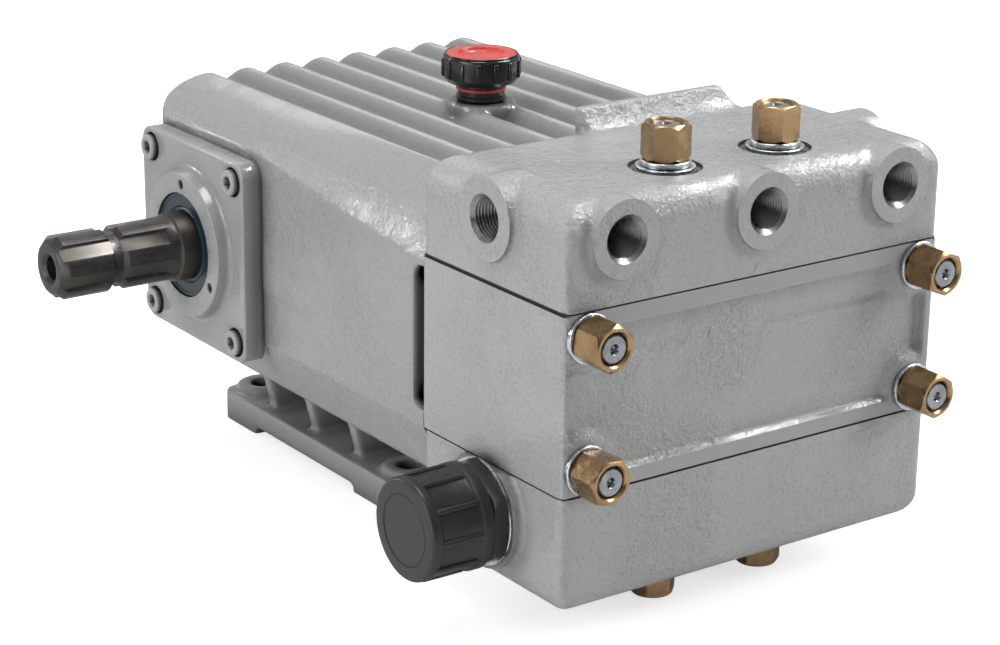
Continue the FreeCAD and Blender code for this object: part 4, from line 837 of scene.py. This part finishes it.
class PUMP_OT_port_threads(bpy.types.Operator):
    """Threads of the five ports"""
    bl_idname = "pump.port_threads"
    bl_label = "Port threads"

    def execute(self, context):
        sizes = context.scene.pump_castings
        mouth_radius = sizes.mouth / MM
        crest = sizes.thread_crest / MM
        pitch = sizes.thread_pitch / MM
        depth = 2.0
        steps = [(mouth_radius, 0.0), (crest, -depth)]
        while depth < sizes.port_depth / MM:
            steps += [(crest + sizes.thread_depth / MM, -depth - pitch / 2), (crest, -depth - pitch)]
            depth += pitch
        steps += [(crest, -depth - 1), (SLIGHT, -depth - 5), (SLIGHT, -depth - 6), (mouth_radius - 0.1, -depth - 5),
                  (mouth_radius - SLIGHT, -0.3), (mouth_radius, 0.0)]
        pattern = turned("thread", steps, sides=64, ring=True)
        for order, (mouth, axis) in enumerate(ports(), 1):
            thread = copy_of(pattern, "port_thread_%d" % order, mouth, axis)
            dress(thread, "thread_metal", angle=20)
        discard(pattern)
        return {"FINISHED"}


# Heights of the faint ridges that run across the front panel, and their radius, in millimetres.
RIDGES = (94.0, 92.0, 143.4, 141.1)
RIDGE_RADIUS = 0.95


class PUMP_OT_valve_block(bpy.types.Operator):
    """Valve block: rough casting with a recessed front panel between machined strips"""
    bl_idname = "pump.valve_block"
    bl_label = "Valve block"

    def execute(self, context):
        sizes = context.scene.pump_castings
        node = "valve_block"
        low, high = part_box(node)
        over = Vector((0, 0, sizes.overrun))
        body = round_edges(block(node + "_cast", low - over, high + over), runs_along(2), 2 * MM, 4)
        bed = low.y + sizes.panel_depth
        field = block("field", (low.x + sizes.panel_left, low.y - 4 * MM, low.z + sizes.panel_low),
                      (high.x - sizes.panel_right, bed, high.z - sizes.panel_top))
        boss = sizes.panel_boss / MM
        for place in [middle(name) for name in frame["nodes"] if name.startswith("front_nut")]:
            combine(field, turned("boss", [(19.5, -0.01), (boss, 4.4), (boss, 12.0)], (place.x, bed, place.z), "-y"))
        combine(body, field)
        ridges = [rod("ridge", (-80 * MM, bed, height * MM), "+x", RIDGE_RADIUS * MM, 162 * MM, 12)
                  for height in RIDGES]
        body = cast(joined(node + "_cast", [body, *ridges]), sizes.head_cell, 3)
        lighten(faced(body, node, "-z", "+z"), 120000)
        seam(body, high.z - sizes.seam, high.z + MM, MM, CLEAR)
        seam(body, low.z - MM, low.z + sizes.seam / 2, CLEAR, MM)
        dress(body, "head_paint", [node])
        body.data.materials.append(material("machined_paint"))
        for face in body.data.polygons:
            if face.normal.y < -0.97 and face.center.y < low.y + 0.4 * MM:
                face.material_index = 1
        darken(body, high.z - sizes.seam, high.z)
        return {"FINISHED"}


class PUMP_OT_suction_manifold(bpy.types.Operator):
    """Suction manifold: softened casting with round bosses at its ends"""
    bl_idname = "pump.suction_manifold"
    bl_label = "Suction manifold"

    def execute(self, context):
        sizes = context.scene.pump_castings
        node = "suction_manifold"
        over = sizes.overrun
        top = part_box(node)[1].z
        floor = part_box("upright_washers")[0].z + context.scene.pump_fittings.washer_depth
        parts = [run_out(welded(node), node, "+z", over)]
        for side, axis in (("left", "-x"), ("right", "+x")):
            parts.append(sunk("boss", seat("suction_washer_" + side, axis), axis, sizes.end_boss, BOSS_DEPTH, over))
        for side in ("left", "right"):
            place = middle("bottom_nut_" + side)
            parts.append(rod("plug", (place.x, place.y, floor), "+z", 9 * MM, top - floor + over))
        manifold = cast(joined(node + "_cast", parts), sizes.head_cell, 9)
        lighten(faced(manifold, node, "+z", "-x", "+x"), 110000)
        dress(manifold, "head_paint", [node])
        return {"FINISHED"}


class PUMP_OT_crankcase(bpy.types.Operator):
    """Crankcase: softened finned casting on its foot rails"""
    bl_idname = "pump.crankcase"
    bl_label = "Crankcase"

    def execute(self, context):
        sizes = context.scene.pump_castings
        node = "crankcase"
        case = welded(node)
        for axis in ("-y", "-z"):
            run_out(case, node, axis, sizes.overrun, 0.99)
        cast(case, sizes.case_cell, 6)
        lighten(faced(case, node, "-y", "-z"), 190000)
        dress(case, "case_paint", [node])
        return {"FINISHED"}


# Turned steps of the bearing covers' bosses: one with the shaft's bore, one closed.
OPEN_BOSS = [(46.5, -4.0), (46.5, -0.2), *arc(44.4, 3.6, 3.6, 270, 190, 6), (39.7, 6.0),
             *arc(39.0, 6.0, 0.7, 0, 90, 3), (20.0, 6.7)]
CLOSED_BOSS = [(45.0, -4.0), (45.0, -0.3), *arc(43.5, 2.0, 2.0, 270, 200, 5), *arc(38.0, 2.2, 0.8, 0, 90, 3),
               (20.0, 3.0)]


class PUMP_OT_bearing_covers(bpy.types.Operator):
    """Bearing covers: bevelled plates with a turned boss, screw seats and small tapped holes"""
    bl_idname = "pump.bearing_covers"
    bl_label = "Bearing covers"

    def execute(self, context):
        sizes = context.scene.pump_castings
        half = context.scene.pump_fittings.screw_square / 2
        floor = -context.scene.pump_fittings.screw_sunk / MM
        centre = Vector((0, *frame["joints"][0]["pos_m"][1:]))
        for node, axis, steps in (("bearing_cover_left", "-x", OPEN_BOSS), ("bearing_cover_right", "+x", CLOSED_BOSS)):
            low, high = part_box(node)
            way = WAYS[axis].x
            ends = sorted((way * sizes.cover_back, way * sizes.cover_face))
            plate = block(node + "_plate", (ends[0], low.y, low.z), (ends[1], high.y, high.z))
            round_edges(plate, runs_along(0), sizes.cover_corner, 8)
            round_edges(plate, lambda edge: all(abs(vertex.co.x) > sizes.cover_face - 0.1 * MM
                                                for vertex in edge.verts), MM, 3)
            origin = centre + WAYS[axis] * sizes.cover_face
            combine(plate, turned("boss", steps, origin, axis, sides=96), "UNION")
            tools = []
            if steps is OPEN_BOSS:
                tools.append(turned("bore", [(28.75, 10.0), (28.75, -5.0)], origin, axis, sides=96))
                for angle in (0, 2 * math.pi / 3, 4 * math.pi / 3):
                    hole = origin + Vector((0, -math.sin(angle), math.cos(angle))) * sizes.hole_ring
                    tools.append(turned("hole", [(3.1, 8.0), (3.1, 6.75), (2.5, 6.1), (2.5, 1.0)], hole, axis, 24))
            for along in SIDES:
                for up in SIDES:
                    tools.append(turned("seat", [(8.2, 1.0), (8.2, 0.0), (7.6, -0.6), (7.6, floor)],
                                        origin + Vector((0, along * half, up * half)), axis, 48))
            combine(plate, joined("tools", tools))
            dress(soften(plate, 0.3, 2, 40), "case_paint", [node])
        return {"FINISHED"}


class PUMP_OT_rear_cover(bpy.types.Operator):
    """Rear cover with its screws, sight glass and the drain plug"""
    bl_idname = "pump.rear_cover"
    bl_label = "Rear cover"

    def execute(self, context):
        low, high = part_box("rear_cover")
        plate = block("rear_cover_plate", low, high)
        round_edges(plate, runs_along(1), context.scene.pump_castings.rear_corner, 8)
        round_edges(plate, lambda edge: all(vertex.co.y > high.y - 0.1 * MM for vertex in edge.verts), 1.8 * MM, 4)
        dress(plate, "case_paint", ["rear_cover"])
        radius = context.scene.pump_fittings.rear_screw
        pattern = socket_screw("rear_screw", radius / MM, 8.0, 6.0, 12.0)
        centre = middle("rear_cover_screws")
        screw_low, screw_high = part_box("rear_cover_screws")
        screws = [copy_of(pattern, "rear_screw", (across * (screw_high.x - radius), high.y,
                                                  centre.z + up * ((screw_high.z - screw_low.z) / 2 - radius)), "+y")
                  for across in (-1, 0, 1) for up in SIDES]
        discard(pattern)
        dress(joined("rear_cover_screw_set", screws), "dark_steel", ["rear_cover_screws"])
        rim = turned("sight_glass_ring", [(11.2, 0.0), (15.0, 0.0), (15.0, 3.6), *arc(13.8, 3.8, 1.2, 0, 90, 4),
                                          (12.4, 5.0), (11.2, 3.8), (11.2, 0.0)], seat("sight_glass_rim", "+y"), "+y",
                     ring=True)
        dress(rim, "brass", ["sight_glass_rim"])
        dome = turned("sight_glass_dome", [(11.0, 0.0), (11.0, 1.6), (9.5, 2.1), (6.0, 2.35), (SLIGHT, 2.4)],
                      seat("sight_glass_lens", "+y"), "+y")
        dress(dome, "sight_glass", ["sight_glass_lens"])
        tall = 8.0
        head = hexagon("drain_plug_head", 22 * MM, tall * MM)
        chamfer = turned("chamfer", [(11.1, -0.01), (13.0, 0.5), (13.0, 6.5), (10.2, tall + 0.01)])
        combine(head, chamfer, "INTERSECT")
        soften(head, 0.4)
        plug = joined("drain_plug_head", [head, turned("shank", [(9.0, -11.0), (9.0, 0.5)])])
        stand(plug, seat("drain_plug", "-y") - WAYS["+y"] * tall * MM, "+y")
        dress(plug, "brass", ["drain_plug"])
        return {"FINISHED"}


# Fittings

def socket_screw(name, radius, height, socket, shank):
    """An upright cap screw with a hexagon socket; its seat is at the origin."""
    depth = 5.0
    head = turned(name, [(radius * 0.55, -shank), (radius * 0.55, 0.0), (radius, 0.0), (radius, height - 1.0),
                         *arc(radius - 1.0, height - 1.0, 1.0, 0, 90, 4), (radius * 0.2, height)], sides=48)
    combine(head, stand(hexagon("socket", socket * MM, (depth + 0.2) * MM), (0, 0, (height - depth) * MM), "+z"))
    combine(head, turned("mouth", [(socket * 0.62, height + 0.1), (socket * 0.62, height - 0.01),
                                   (socket * 0.49, height - 0.9)], sides=48))
    return soften(head, 0.2, 2, 40)


class PUMP_OT_cover_screws(bpy.types.Operator):
    """Socket screws of the bearing covers"""
    bl_idname = "pump.cover_screws"
    bl_label = "Cover screws"

    def execute(self, context):
        fittings = context.scene.pump_fittings
        seat_x = context.scene.pump_castings.cover_face - fittings.screw_sunk
        pattern = socket_screw("cover_screw", fittings.screw_head / MM, 10.0, fittings.screw_socket / MM, 15.0)
        half = fittings.screw_square / 2
        for node, axis in (("cover_screws_left", "-x"), ("cover_screws_right", "+x")):
            place = middle(node)
            place.x = WAYS[axis].x * seat_x
            screws = [copy_of(pattern, "cover_screw", place + Vector((0, along * half, up * half)), axis)
                      for along in SIDES for up in SIDES]
            dress(joined(node + "_set", screws), "screw_steel", [node])
        discard(pattern)
        return {"FINISHED"}


# Corner of each nut's hexagon in degrees, as the nuts happen to be tightened.
NUT_TURNS = {
    "front_nut_left_high": 81.8,
    "front_nut_right_high": 96.8,
    "front_nut_left_low": 53.8,
    "front_nut_right_low": 88.5,
    "top_nut_left": 19.4,
    "top_nut_right": 4.7,
    "bottom_nut_left": -39.8,
    "bottom_nut_right": -26.8,
}
NUT_WAYS = {"front": "-y", "top": "+z", "bottom": "-z"}


class PUMP_OT_nuts(bpy.types.Operator):
    """Chamfered brass nuts with countersunk mouths"""
    bl_idname = "pump.nuts"
    bl_label = "Nuts"

    def execute(self, context):
        fittings = context.scene.pump_fittings
        corner = fittings.nut_flats / MM / math.sqrt(3)
        face = fittings.nut_face / MM
        bore = fittings.stud / MM + 0.3
        tall = reach_of("front_nut_left_low", "-y")
        rise = corner - face
        pattern = hexagon("nut", fittings.nut_flats, tall * MM, 0)
        widest = corner + SLIGHT
        combine(pattern, turned("envelope", [(face + 0.2, -0.01), (widest, rise), (widest, tall - rise),
                                             (face, tall + 0.01)], sides=96), "INTERSECT")
        combine(pattern, turned("bore", [(bore + 1.4, tall + 0.1), (bore + 1.2, tall - 0.05), (bore, tall - 2.2),
                                         (bore, -0.2)], sides=96))
        merged(soften(pattern, 0.28, 3, 25))
        for node, degrees in NUT_TURNS.items():
            axis = NUT_WAYS[node.split("_")[0]]
            nut = copy_of(pattern, node + "_hex")
            nut.rotation_euler = (0, 0, math.radians(degrees - 30))
            settle(nut.name)
            dress(stand(nut, seat(node, axis), axis), "brass", [node], angle=25)
        discard(pattern)
        return {"FINISHED"}


class PUMP_OT_studs(bpy.types.Operator):
    """Studs with chamfered ends and a centre mark"""
    bl_idname = "pump.studs"
    bl_label = "Studs"

    def execute(self, context):
        radius = context.scene.pump_fittings.stud / MM
        pattern = turned("stud", [(radius, -60.0), (radius, -0.9), (radius - 0.8, 0.0), (2.6, 0.0), (2.2, -0.5),
                                  (1.6, -2.0), (SLIGHT, -2.8)])
        sets = {"front": [], "upright": []}
        for node in NUT_TURNS:
            axis = NUT_WAYS[node.split("_")[0]]
            group = "front" if axis == "-y" else "upright"
            sets[group].append(copy_of(pattern, "stud", at_side(middle(node), group + "_studs", axis), axis))
        for group, pieces in sets.items():
            dress(joined(group + "_stud_ends", pieces), "stud_steel", [group + "_studs"], angle=20)
        discard(pattern)
        return {"FINISHED"}


def washer_steps(bore, outer, tall, rounding):
    """A washer's section with rounded edges, from its seat up."""
    return [(bore, 0.0), *arc(outer - rounding, rounding, rounding, -90, 0, 3),
            *arc(outer - rounding, tall - rounding, rounding, 0, 90, 4), (bore + 0.3, tall), (bore, tall - 0.3),
            (bore, 0.0)]


class PUMP_OT_washers(bpy.types.Operator):
    """Lock washers under the nuts, on flat washers at the upright studs"""
    bl_idname = "pump.washers"
    bl_label = "Washers"

    def execute(self, context):
        fittings = context.scene.pump_fittings
        bore = fittings.stud / MM + 0.3
        depth = fittings.lock_depth / MM
        lock = turned("lock_washer", washer_steps(bore, fittings.lock_washer / MM, depth, 0.6), sides=96, ring=True)
        combine(lock, block("slit", (0, -0.8 * MM, -MM), (20 * MM, 0.8 * MM, (depth + 1) * MM)))
        flat = turned("flat_washer", washer_steps(bore, fittings.washer / MM, fittings.washer_depth / MM, 0.4),
                      sides=96, ring=True)
        sets = {"front_washers": [], "upright_washers": [], "upright_lock_washers": []}
        for node in NUT_TURNS:
            axis = NUT_WAYS[node.split("_")[0]]
            under = seat(node, axis) - WAYS[axis] * fittings.lock_depth
            group = "front_washers" if axis == "-y" else "upright_lock_washers"
            sets[group].append(copy_of(lock, "washer", under, axis))
            if axis != "-y":
                under -= WAYS[axis] * fittings.washer_depth
                sets["upright_washers"].append(copy_of(flat, "washer", under, axis))
        for node, pieces in sets.items():
            dress(joined(node + "_set", pieces), "zinc", [node], angle=25)
        discard(lock, flat)
        return {"FINISHED"}


class PUMP_OT_oil_seal(bpy.types.Operator):
    """Oil seal with its stepped face and lip"""
    bl_idname = "pump.oil_seal"
    bl_label = "Oil seal"

    def execute(self, context):
        steps = [(20.6, 0.0), (28.68, 0.0), (28.68, 9.2), *arc(27.9, 9.2, 0.8, 0, 90, 3), (26.6, 10.0), (26.2, 9.5),
                 (21.4, 9.4), (20.9, 8.8), (20.3, 8.4), (19.6, 8.7), (18.95, 8.9), (18.95, 6.5), (20.6, 4.0),
                 (20.6, 0.0)]
        seal = turned("oil_seal_ring", steps, seat("oil_seal", "-x"), "-x", sides=96, ring=True)
        dress(seal, "seal_rubber", ["oil_seal"], angle=25)
        return {"FINISHED"}


class PUMP_OT_drive_shaft(bpy.types.Operator):
    """Drive shaft with hobbed splines, locking groove and centre hole"""
    bl_idname = "pump.drive_shaft"
    bl_label = "Drive shaft"

    def execute(self, context):
        fittings = context.scene.pump_fittings
        start = seat("drive_shaft", "-x")
        tall = reach_of("drive_shaft", "-x")
        collar = tall - fittings.splined / MM
        groove = tall - fittings.groove / MM
        outer = fittings.shaft / MM
        root = fittings.spline_root / MM
        tooth = fittings.spline_tooth
        shaft = turned("drive_shaft_bar", [
            (18.75, 0.0), (18.75, collar - 1.9), (18.0, collar - 1.2), (outer, collar), (outer, groove - 4.6),
            (14.7, groove - 2.4), (14.7, groove + 2.4), (outer, groove + 4.6), (outer, tall - 4.0),
            (13.6, tall)], sides=96)
        lay_down()
        hob_height = (collar + 13.0) * MM
        bpy.ops.mesh.primitive_cylinder_add(vertices=64, radius=fittings.hob, depth=80 * MM, rotation=TURNS["+y"],
                                            location=(fittings.spline_root + fittings.hob, 0, hob_height))
        cutter = settle("hob")
        pick(cutter, lambda edge: all(vertex.co.z > hob_height + 0.01 * MM for vertex in edge.verts), "EDGE")
        bpy.ops.transform.translate(value=(0, 0, 60 * MM))
        slope = math.radians(30)
        for side in SIDES:
            trim(cutter, (tooth / 4, -side * tooth / 2 * math.cos(slope), 0),
                 (-math.sin(slope), side * math.cos(slope), 0))
        combine(shaft, joined("hobs", spun(cutter, fittings.spline_count, fittings.spline_turn)))
        combine(shaft, turned("centre", [(8.6, tall + 0.1), (8.4, tall - 0.1), (6.5, tall - 1.9), (6.5, tall - 25.0),
                                         (SLIGHT, tall - 28.0)], sides=48))
        stand(soften(shaft, 0.35, 2, 28), start, "-x")
        dress(shaft, "dark_steel", ["drive_shaft"], SHAFT, angle=28)
        shaft.data.materials.append(material("bare_steel"))
        for face in shaft.data.polygons:
            along = (start.x - face.center.x) / MM
            radius = (face.center.yz - start.yz).length / MM
            between = radius < root + 0.5 and abs(along - groove) > 4.6 and abs(face.normal.x) < 0.5
            if along < collar - 0.6 or between:
                face.material_index = 1
        return {"FINISHED"}


class PUMP_OT_suction_fittings(bpy.types.Operator):
    """Suction adapter, ribbed cap, washers and the plug at the other end"""
    bl_idname = "pump.suction_fittings"
    bl_label = "Suction fittings"

    def execute(self, context):
        washer = turned("suction_washer", [(16.5, 0.0), (26.4, 0.0), (26.5, 0.5), (26.5, 1.1), (26.2, 1.5),
                                           (16.5, 1.5), (16.5, 0.0)], sides=96, ring=True)
        for node, axis in (("suction_washer_left", "-x"), ("suction_washer_right", "+x")):
            dress(copy_of(washer, node + "_ring", seat(node, axis), axis), "zinc", [node])
        discard(washer)
        head = hexagon("hexagon", 48 * MM, 7.5 * MM, math.pi / 2)
        envelope = turned("envelope", [(26.4, -0.01), (27.8, 0.8), (27.8, 5.9), (24.4, 7.51)], sides=96)
        combine(head, envelope, "INTERSECT")
        soften(head, 0.6, 3, 25)
        pattern = joined("adapter", [head, turned("spigot", [(16.0, -16.0), (16.0, 0.2)])])
        stub = turned("stub", [(18.0, 7.0), (18.0, 17.0)])
        adapter = joined("suction_adapter_hex", [copy_of(pattern, "adapter_left"), stub])
        out = 17.5 * MM
        stand(adapter, seat("suction_adapter", "-x") + WAYS["-x"] * out, "-x")
        dress(adapter, "black_plastic", ["suction_adapter"], angle=25)
        plug = copy_of(pattern, "suction_plug_hex", seat("suction_plug", "+x") + WAYS["+x"] * out, "+x")
        dress(plug, "brass", ["suction_plug"], angle=25)
        discard(pattern)
        cap = turned("suction_cap_shell", [
            (18.5, 0.0), *arc(25.4, 0.7, 0.7, -90, 0, 3), *arc(25.4, 5.0, 0.7, 0, 60, 3),
            (24.7, 6.6), (24.5, 7.2), (24.3, 27.5), (24.6, 28.4), (25.1, 29.0), (25.2, 31.9),
            *arc(23.2, 32.0, 2.0, 0, 90, 6), (17.9, 34.0), (17.6, 33.6), (17.2, 33.6), (16.9, 33.9), (SLIGHT, 33.9)],
            sides=120)
        rib = turned("rib", [(1.5, 7.0), (1.5, 28.0), (1.35, 28.8), (0.6, 29.6)], (24.5 * MM, 0, 0), sides=20)
        total = context.scene.pump_fittings.cap_ribs
        cap = joined("suction_cap_shell", [cap, *spun(rib, total, math.pi / total)])
        dress(stand(cap, seat("suction_cap", "-x"), "-x"), "black_plastic", ["suction_cap"])
        return {"FINISHED"}


class PUMP_OT_oil_filler(bpy.types.Operator):
    """Oil filler: neck, ribbed cap and its red insert"""
    bl_idname = "pump.oil_filler"
    bl_label = "Oil filler"

    def execute(self, context):
        base = seat("filler_neck", "+z") + Vector((0, 0, 8 * MM))
        neck = turned("filler_neck_sleeve", [(11.4, -8.0), (11.4, 0.0), (12.4, 0.0), (13.4, 0.9), (13.4, 2.4),
                                             (12.6, 3.0), (12.6, 9.8)], base)
        dress(neck, "gloss_black_plastic", ["filler_neck"])
        ring = turned("filler_ring", [(12.0, 5.4), *arc(12.6, 6.2, 0.8, -90, 90, 6), (12.0, 7.0), (12.0, 5.4)], base,
                      ring=True)
        dress(ring, "red_plastic")
        cap = turned("filler_cap_shell", [
            (14.0, 0.0), *arc(17.6, 0.8, 0.8, -90, -45, 2), (20.0, 2.6), *arc(19.4, 3.3, 1.0, -30, 0, 2),
            (20.5, 12.6), *arc(19.5, 13.4, 1.0, 0, 90, 5), (19.2, 14.5), *arc(19.1, 14.9, 0.4, 0, 180, 6),
            (18.75, 13.0), (SLIGHT, 13.0)], sides=112)
        rib = block("rib", Vector((19.85, -1.2, 3.1)) * MM, Vector((21.35, 1.2, 12.7)) * MM)
        round_edges(rib, lambda edge: True, 0.6 * MM, 3)
        cap = joined("filler_cap_shell", [cap, *spun(rib, context.scene.pump_fittings.filler_ribs)])
        dress(stand(cap, seat("filler_cap", "+z"), "+z"), "gloss_black_plastic", ["filler_cap"])
        disc = turned("filler_insert_disc", [
            (18.6, 0.0), (18.6, 2.2), *arc(17.9, 2.3, 0.7, 0, 90, 4), (13.2, 3.0), *arc(12.9, 2.5, 0.5, 90, 170, 3),
            (12.0, 1.6), (11.0, 1.4), (9.6, 1.5), (9.2, 1.9), (8.4, 1.9), (8.0, 1.5), (SLIGHT, 1.5)],
            seat("filler_cap_insert", "+z"), sides=96)
        dress(disc, "red_plastic", ["filler_cap_insert"])
        return {"FINISHED"}


class PUMP_OT_gaskets(bpy.types.Operator):
    """Gaskets between the fluid end's castings"""
    bl_idname = "pump.gaskets"
    bl_label = "Gaskets"

    def execute(self, context):
        for node in ("upper_gasket", "lower_gasket"):
            for slot in frame["nodes"][node].material_slots:
                slot.material = material("gasket")
        return {"FINISHED"}


# Stage

# Place, width, height and whether the lamp is seen in gloss only. The stage's properties hold their powers.
LAMPS = {
    "top_box": ((-0.15, -0.1, 1.5), 0.6, 0.6, False),
    "left_box": ((-1.65, -0.05, 0.75), 0.7, 0.7, False),
    "low_box": ((-1.4, -0.35, 0.12), 0.9, 0.2, False),
    "right_box": ((1.3, -1.1, 0.8), 0.6, 0.9, False),
    "rear_strip": ((0.35, 1.2, 1.15), 0.8, 0.5, True),
    "edge_box": ((0.9, -0.4, 1.4), 0.6, 0.7, True),
    "rear_spot": ((-1.05, 1.35, 0.5), 0.2, 0.3, True),
}
LIT_POINT = Vector((0.0, -0.1, 0.12))


def lamp(name, place, width, height, glint, watts):
    """A soft box that looks at the pump. A glint is seen in gloss only."""
    data = bpy.data.lights.new(name, "AREA")
    data.shape = "ELLIPSE"
    data.size = width
    data.size_y = height
    data.energy = watts
    obj = bpy.data.objects.new(name, data)
    obj.location = place
    obj.rotation_euler = (LIT_POINT - Vector(place)).to_track_quat("-Z", "Y").to_euler()
    obj.visible_diffuse = not glint
    bpy.context.collection.objects.link(obj)


def camera_of(stage):
    """The camera that sees the pump as the photo does."""
    yaw, pitch, roll = stage.camera_yaw, stage.camera_pitch, stage.camera_roll
    back = Vector((math.sin(yaw) * math.cos(pitch), -math.cos(yaw) * math.cos(pitch), math.sin(pitch)))
    level = Vector((math.cos(yaw), math.sin(yaw), 0))
    upright = back.cross(level)
    right = level * math.cos(roll) + upright * math.sin(roll)
    up = upright * math.cos(roll) - level * math.sin(roll)
    data = bpy.data.cameras.new("camera")
    data.lens = stage.camera_lens
    data.sensor_width = 36.0
    data.clip_end = 30.0
    camera = bpy.data.objects.new("camera", data)
    bpy.context.collection.objects.link(camera)
    camera.matrix_world = Matrix.Translation(stage.camera_place) @ Matrix((right, up, back)).transposed().to_4x4()
    return camera


def floor_finish():
    """A pale floor that shows white round the pump and keeps its shadow."""
    finish = Finish("floor")
    finish.feed("Specular IOR Level", 0.0)
    finish.feed("Roughness", 0.9)
    finish.feed("Base Color", finish.mix(finish.noise(3.0), (0.86, 0.86, 0.86), (0.9, 0.9, 0.9)))
    finish.feed("Emission Color", (1.0, 1.0, 1.0))
    finish.feed("Emission Strength", finish.node("ShaderNodeLightPath", output="Is Camera Ray") * 0.66)
    return finish.material


def room(strength):
    """The room: white where the camera sees it, bright above and behind the pump, dim behind the camera."""
    world = bpy.data.worlds.new("room")
    world.use_nodes = True
    mixer = Mixer(world.node_tree)
    place = mixer.node("ShaderNodeTexCoord", output="Generated")
    facing = mixer.node("ShaderNodeVectorMath", {"operation": "DOT_PRODUCT"}, {0: place, 1: BRIGHT_WAY}, "Value")
    glow = mixer.node("ShaderNodeMapRange", None, {"Value": facing, "From Min": -0.6, "From Max": 0.8,
                                                   "To Min": strength * 0.12, "To Max": strength * 1.9})
    seen = mixer.node("ShaderNodeLightPath", output="Is Camera Ray")
    background = world.node_tree.nodes["Background"]
    mixer.connect(background.inputs["Color"], (1.0, 1.0, 1.0))
    mixer.connect(background.inputs["Strength"], mixer.node("ShaderNodeMix", None, {0: seen, 2: glow, 3: 1.0}))
    return world


class PUMP_OT_stage(bpy.types.Operator):
    """Floor, room light, soft boxes and camera"""
    bl_idname = "pump.stage"
    bl_label = "Stage"

    def execute(self, context):
        stage = context.scene.pump_stage
        context.scene.view_settings.view_transform = "Standard"
        lay_down()
        bpy.ops.mesh.primitive_circle_add(vertices=96, radius=7.0, fill_type="NGON", location=(0, 0, 0))
        floor = settle("floor")
        floor.data.materials.append(floor_finish())
        context.scene.world = room(stage.fill)
        for name, setting in LAMPS.items():
            lamp(name, *setting, getattr(stage, name))
        context.scene.camera = camera_of(stage)
        return {"FINISHED"}


# Add-on

OPERATORS = (
    PUMP_OT_delivery_manifold, PUMP_OT_port_threads, PUMP_OT_valve_block, PUMP_OT_suction_manifold,
    PUMP_OT_crankcase, PUMP_OT_bearing_covers, PUMP_OT_rear_cover, PUMP_OT_cover_screws, PUMP_OT_nuts,
    PUMP_OT_studs, PUMP_OT_washers, PUMP_OT_oil_seal, PUMP_OT_drive_shaft, PUMP_OT_suction_fittings,
    PUMP_OT_oil_filler, PUMP_OT_gaskets, PUMP_OT_stage)
GROUPS = {"pump_castings": PumpCastings, "pump_fittings": PumpFittings, "pump_colours": PumpColours,
          "pump_stage": PumpStage}


class PUMP_PT_panel(bpy.types.Panel):
    """Sizes, colours and the steps of the pump"""
    bl_idname = "PUMP_PT_panel"
    bl_label = "Piston Pump"
    bl_space_type = "VIEW_3D"
    bl_region_type = "UI"
    bl_category = "Piston Pump"

    def draw(self, context):
        for key, group in GROUPS.items():
            box = self.layout.box()
            for name in group.__annotations__:
                box.prop(getattr(context.scene, key), name)
        for operator in OPERATORS:
            self.layout.operator(operator.bl_idname)


CLASSES = (*GROUPS.values(), *OPERATORS, PUMP_PT_panel)


def register():
    for made in CLASSES:
        bpy.utils.register_class(made)
    for key, group in GROUPS.items():
        setattr(bpy.types.Scene, key, bpy.props.PointerProperty(type=group))


def unregister():
    for key in GROUPS:
        delattr(bpy.types.Scene, key)
    for made in reversed(CLASSES):
        bpy.utils.unregister_class(made)


def main():
    """Registers the add-on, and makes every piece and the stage."""
    register()
    for operator in OPERATORS:
        group, name = operator.bl_idname.split(".")
        getattr(getattr(bpy.ops, group), name)()


if __name__ == "__main__":
    main()
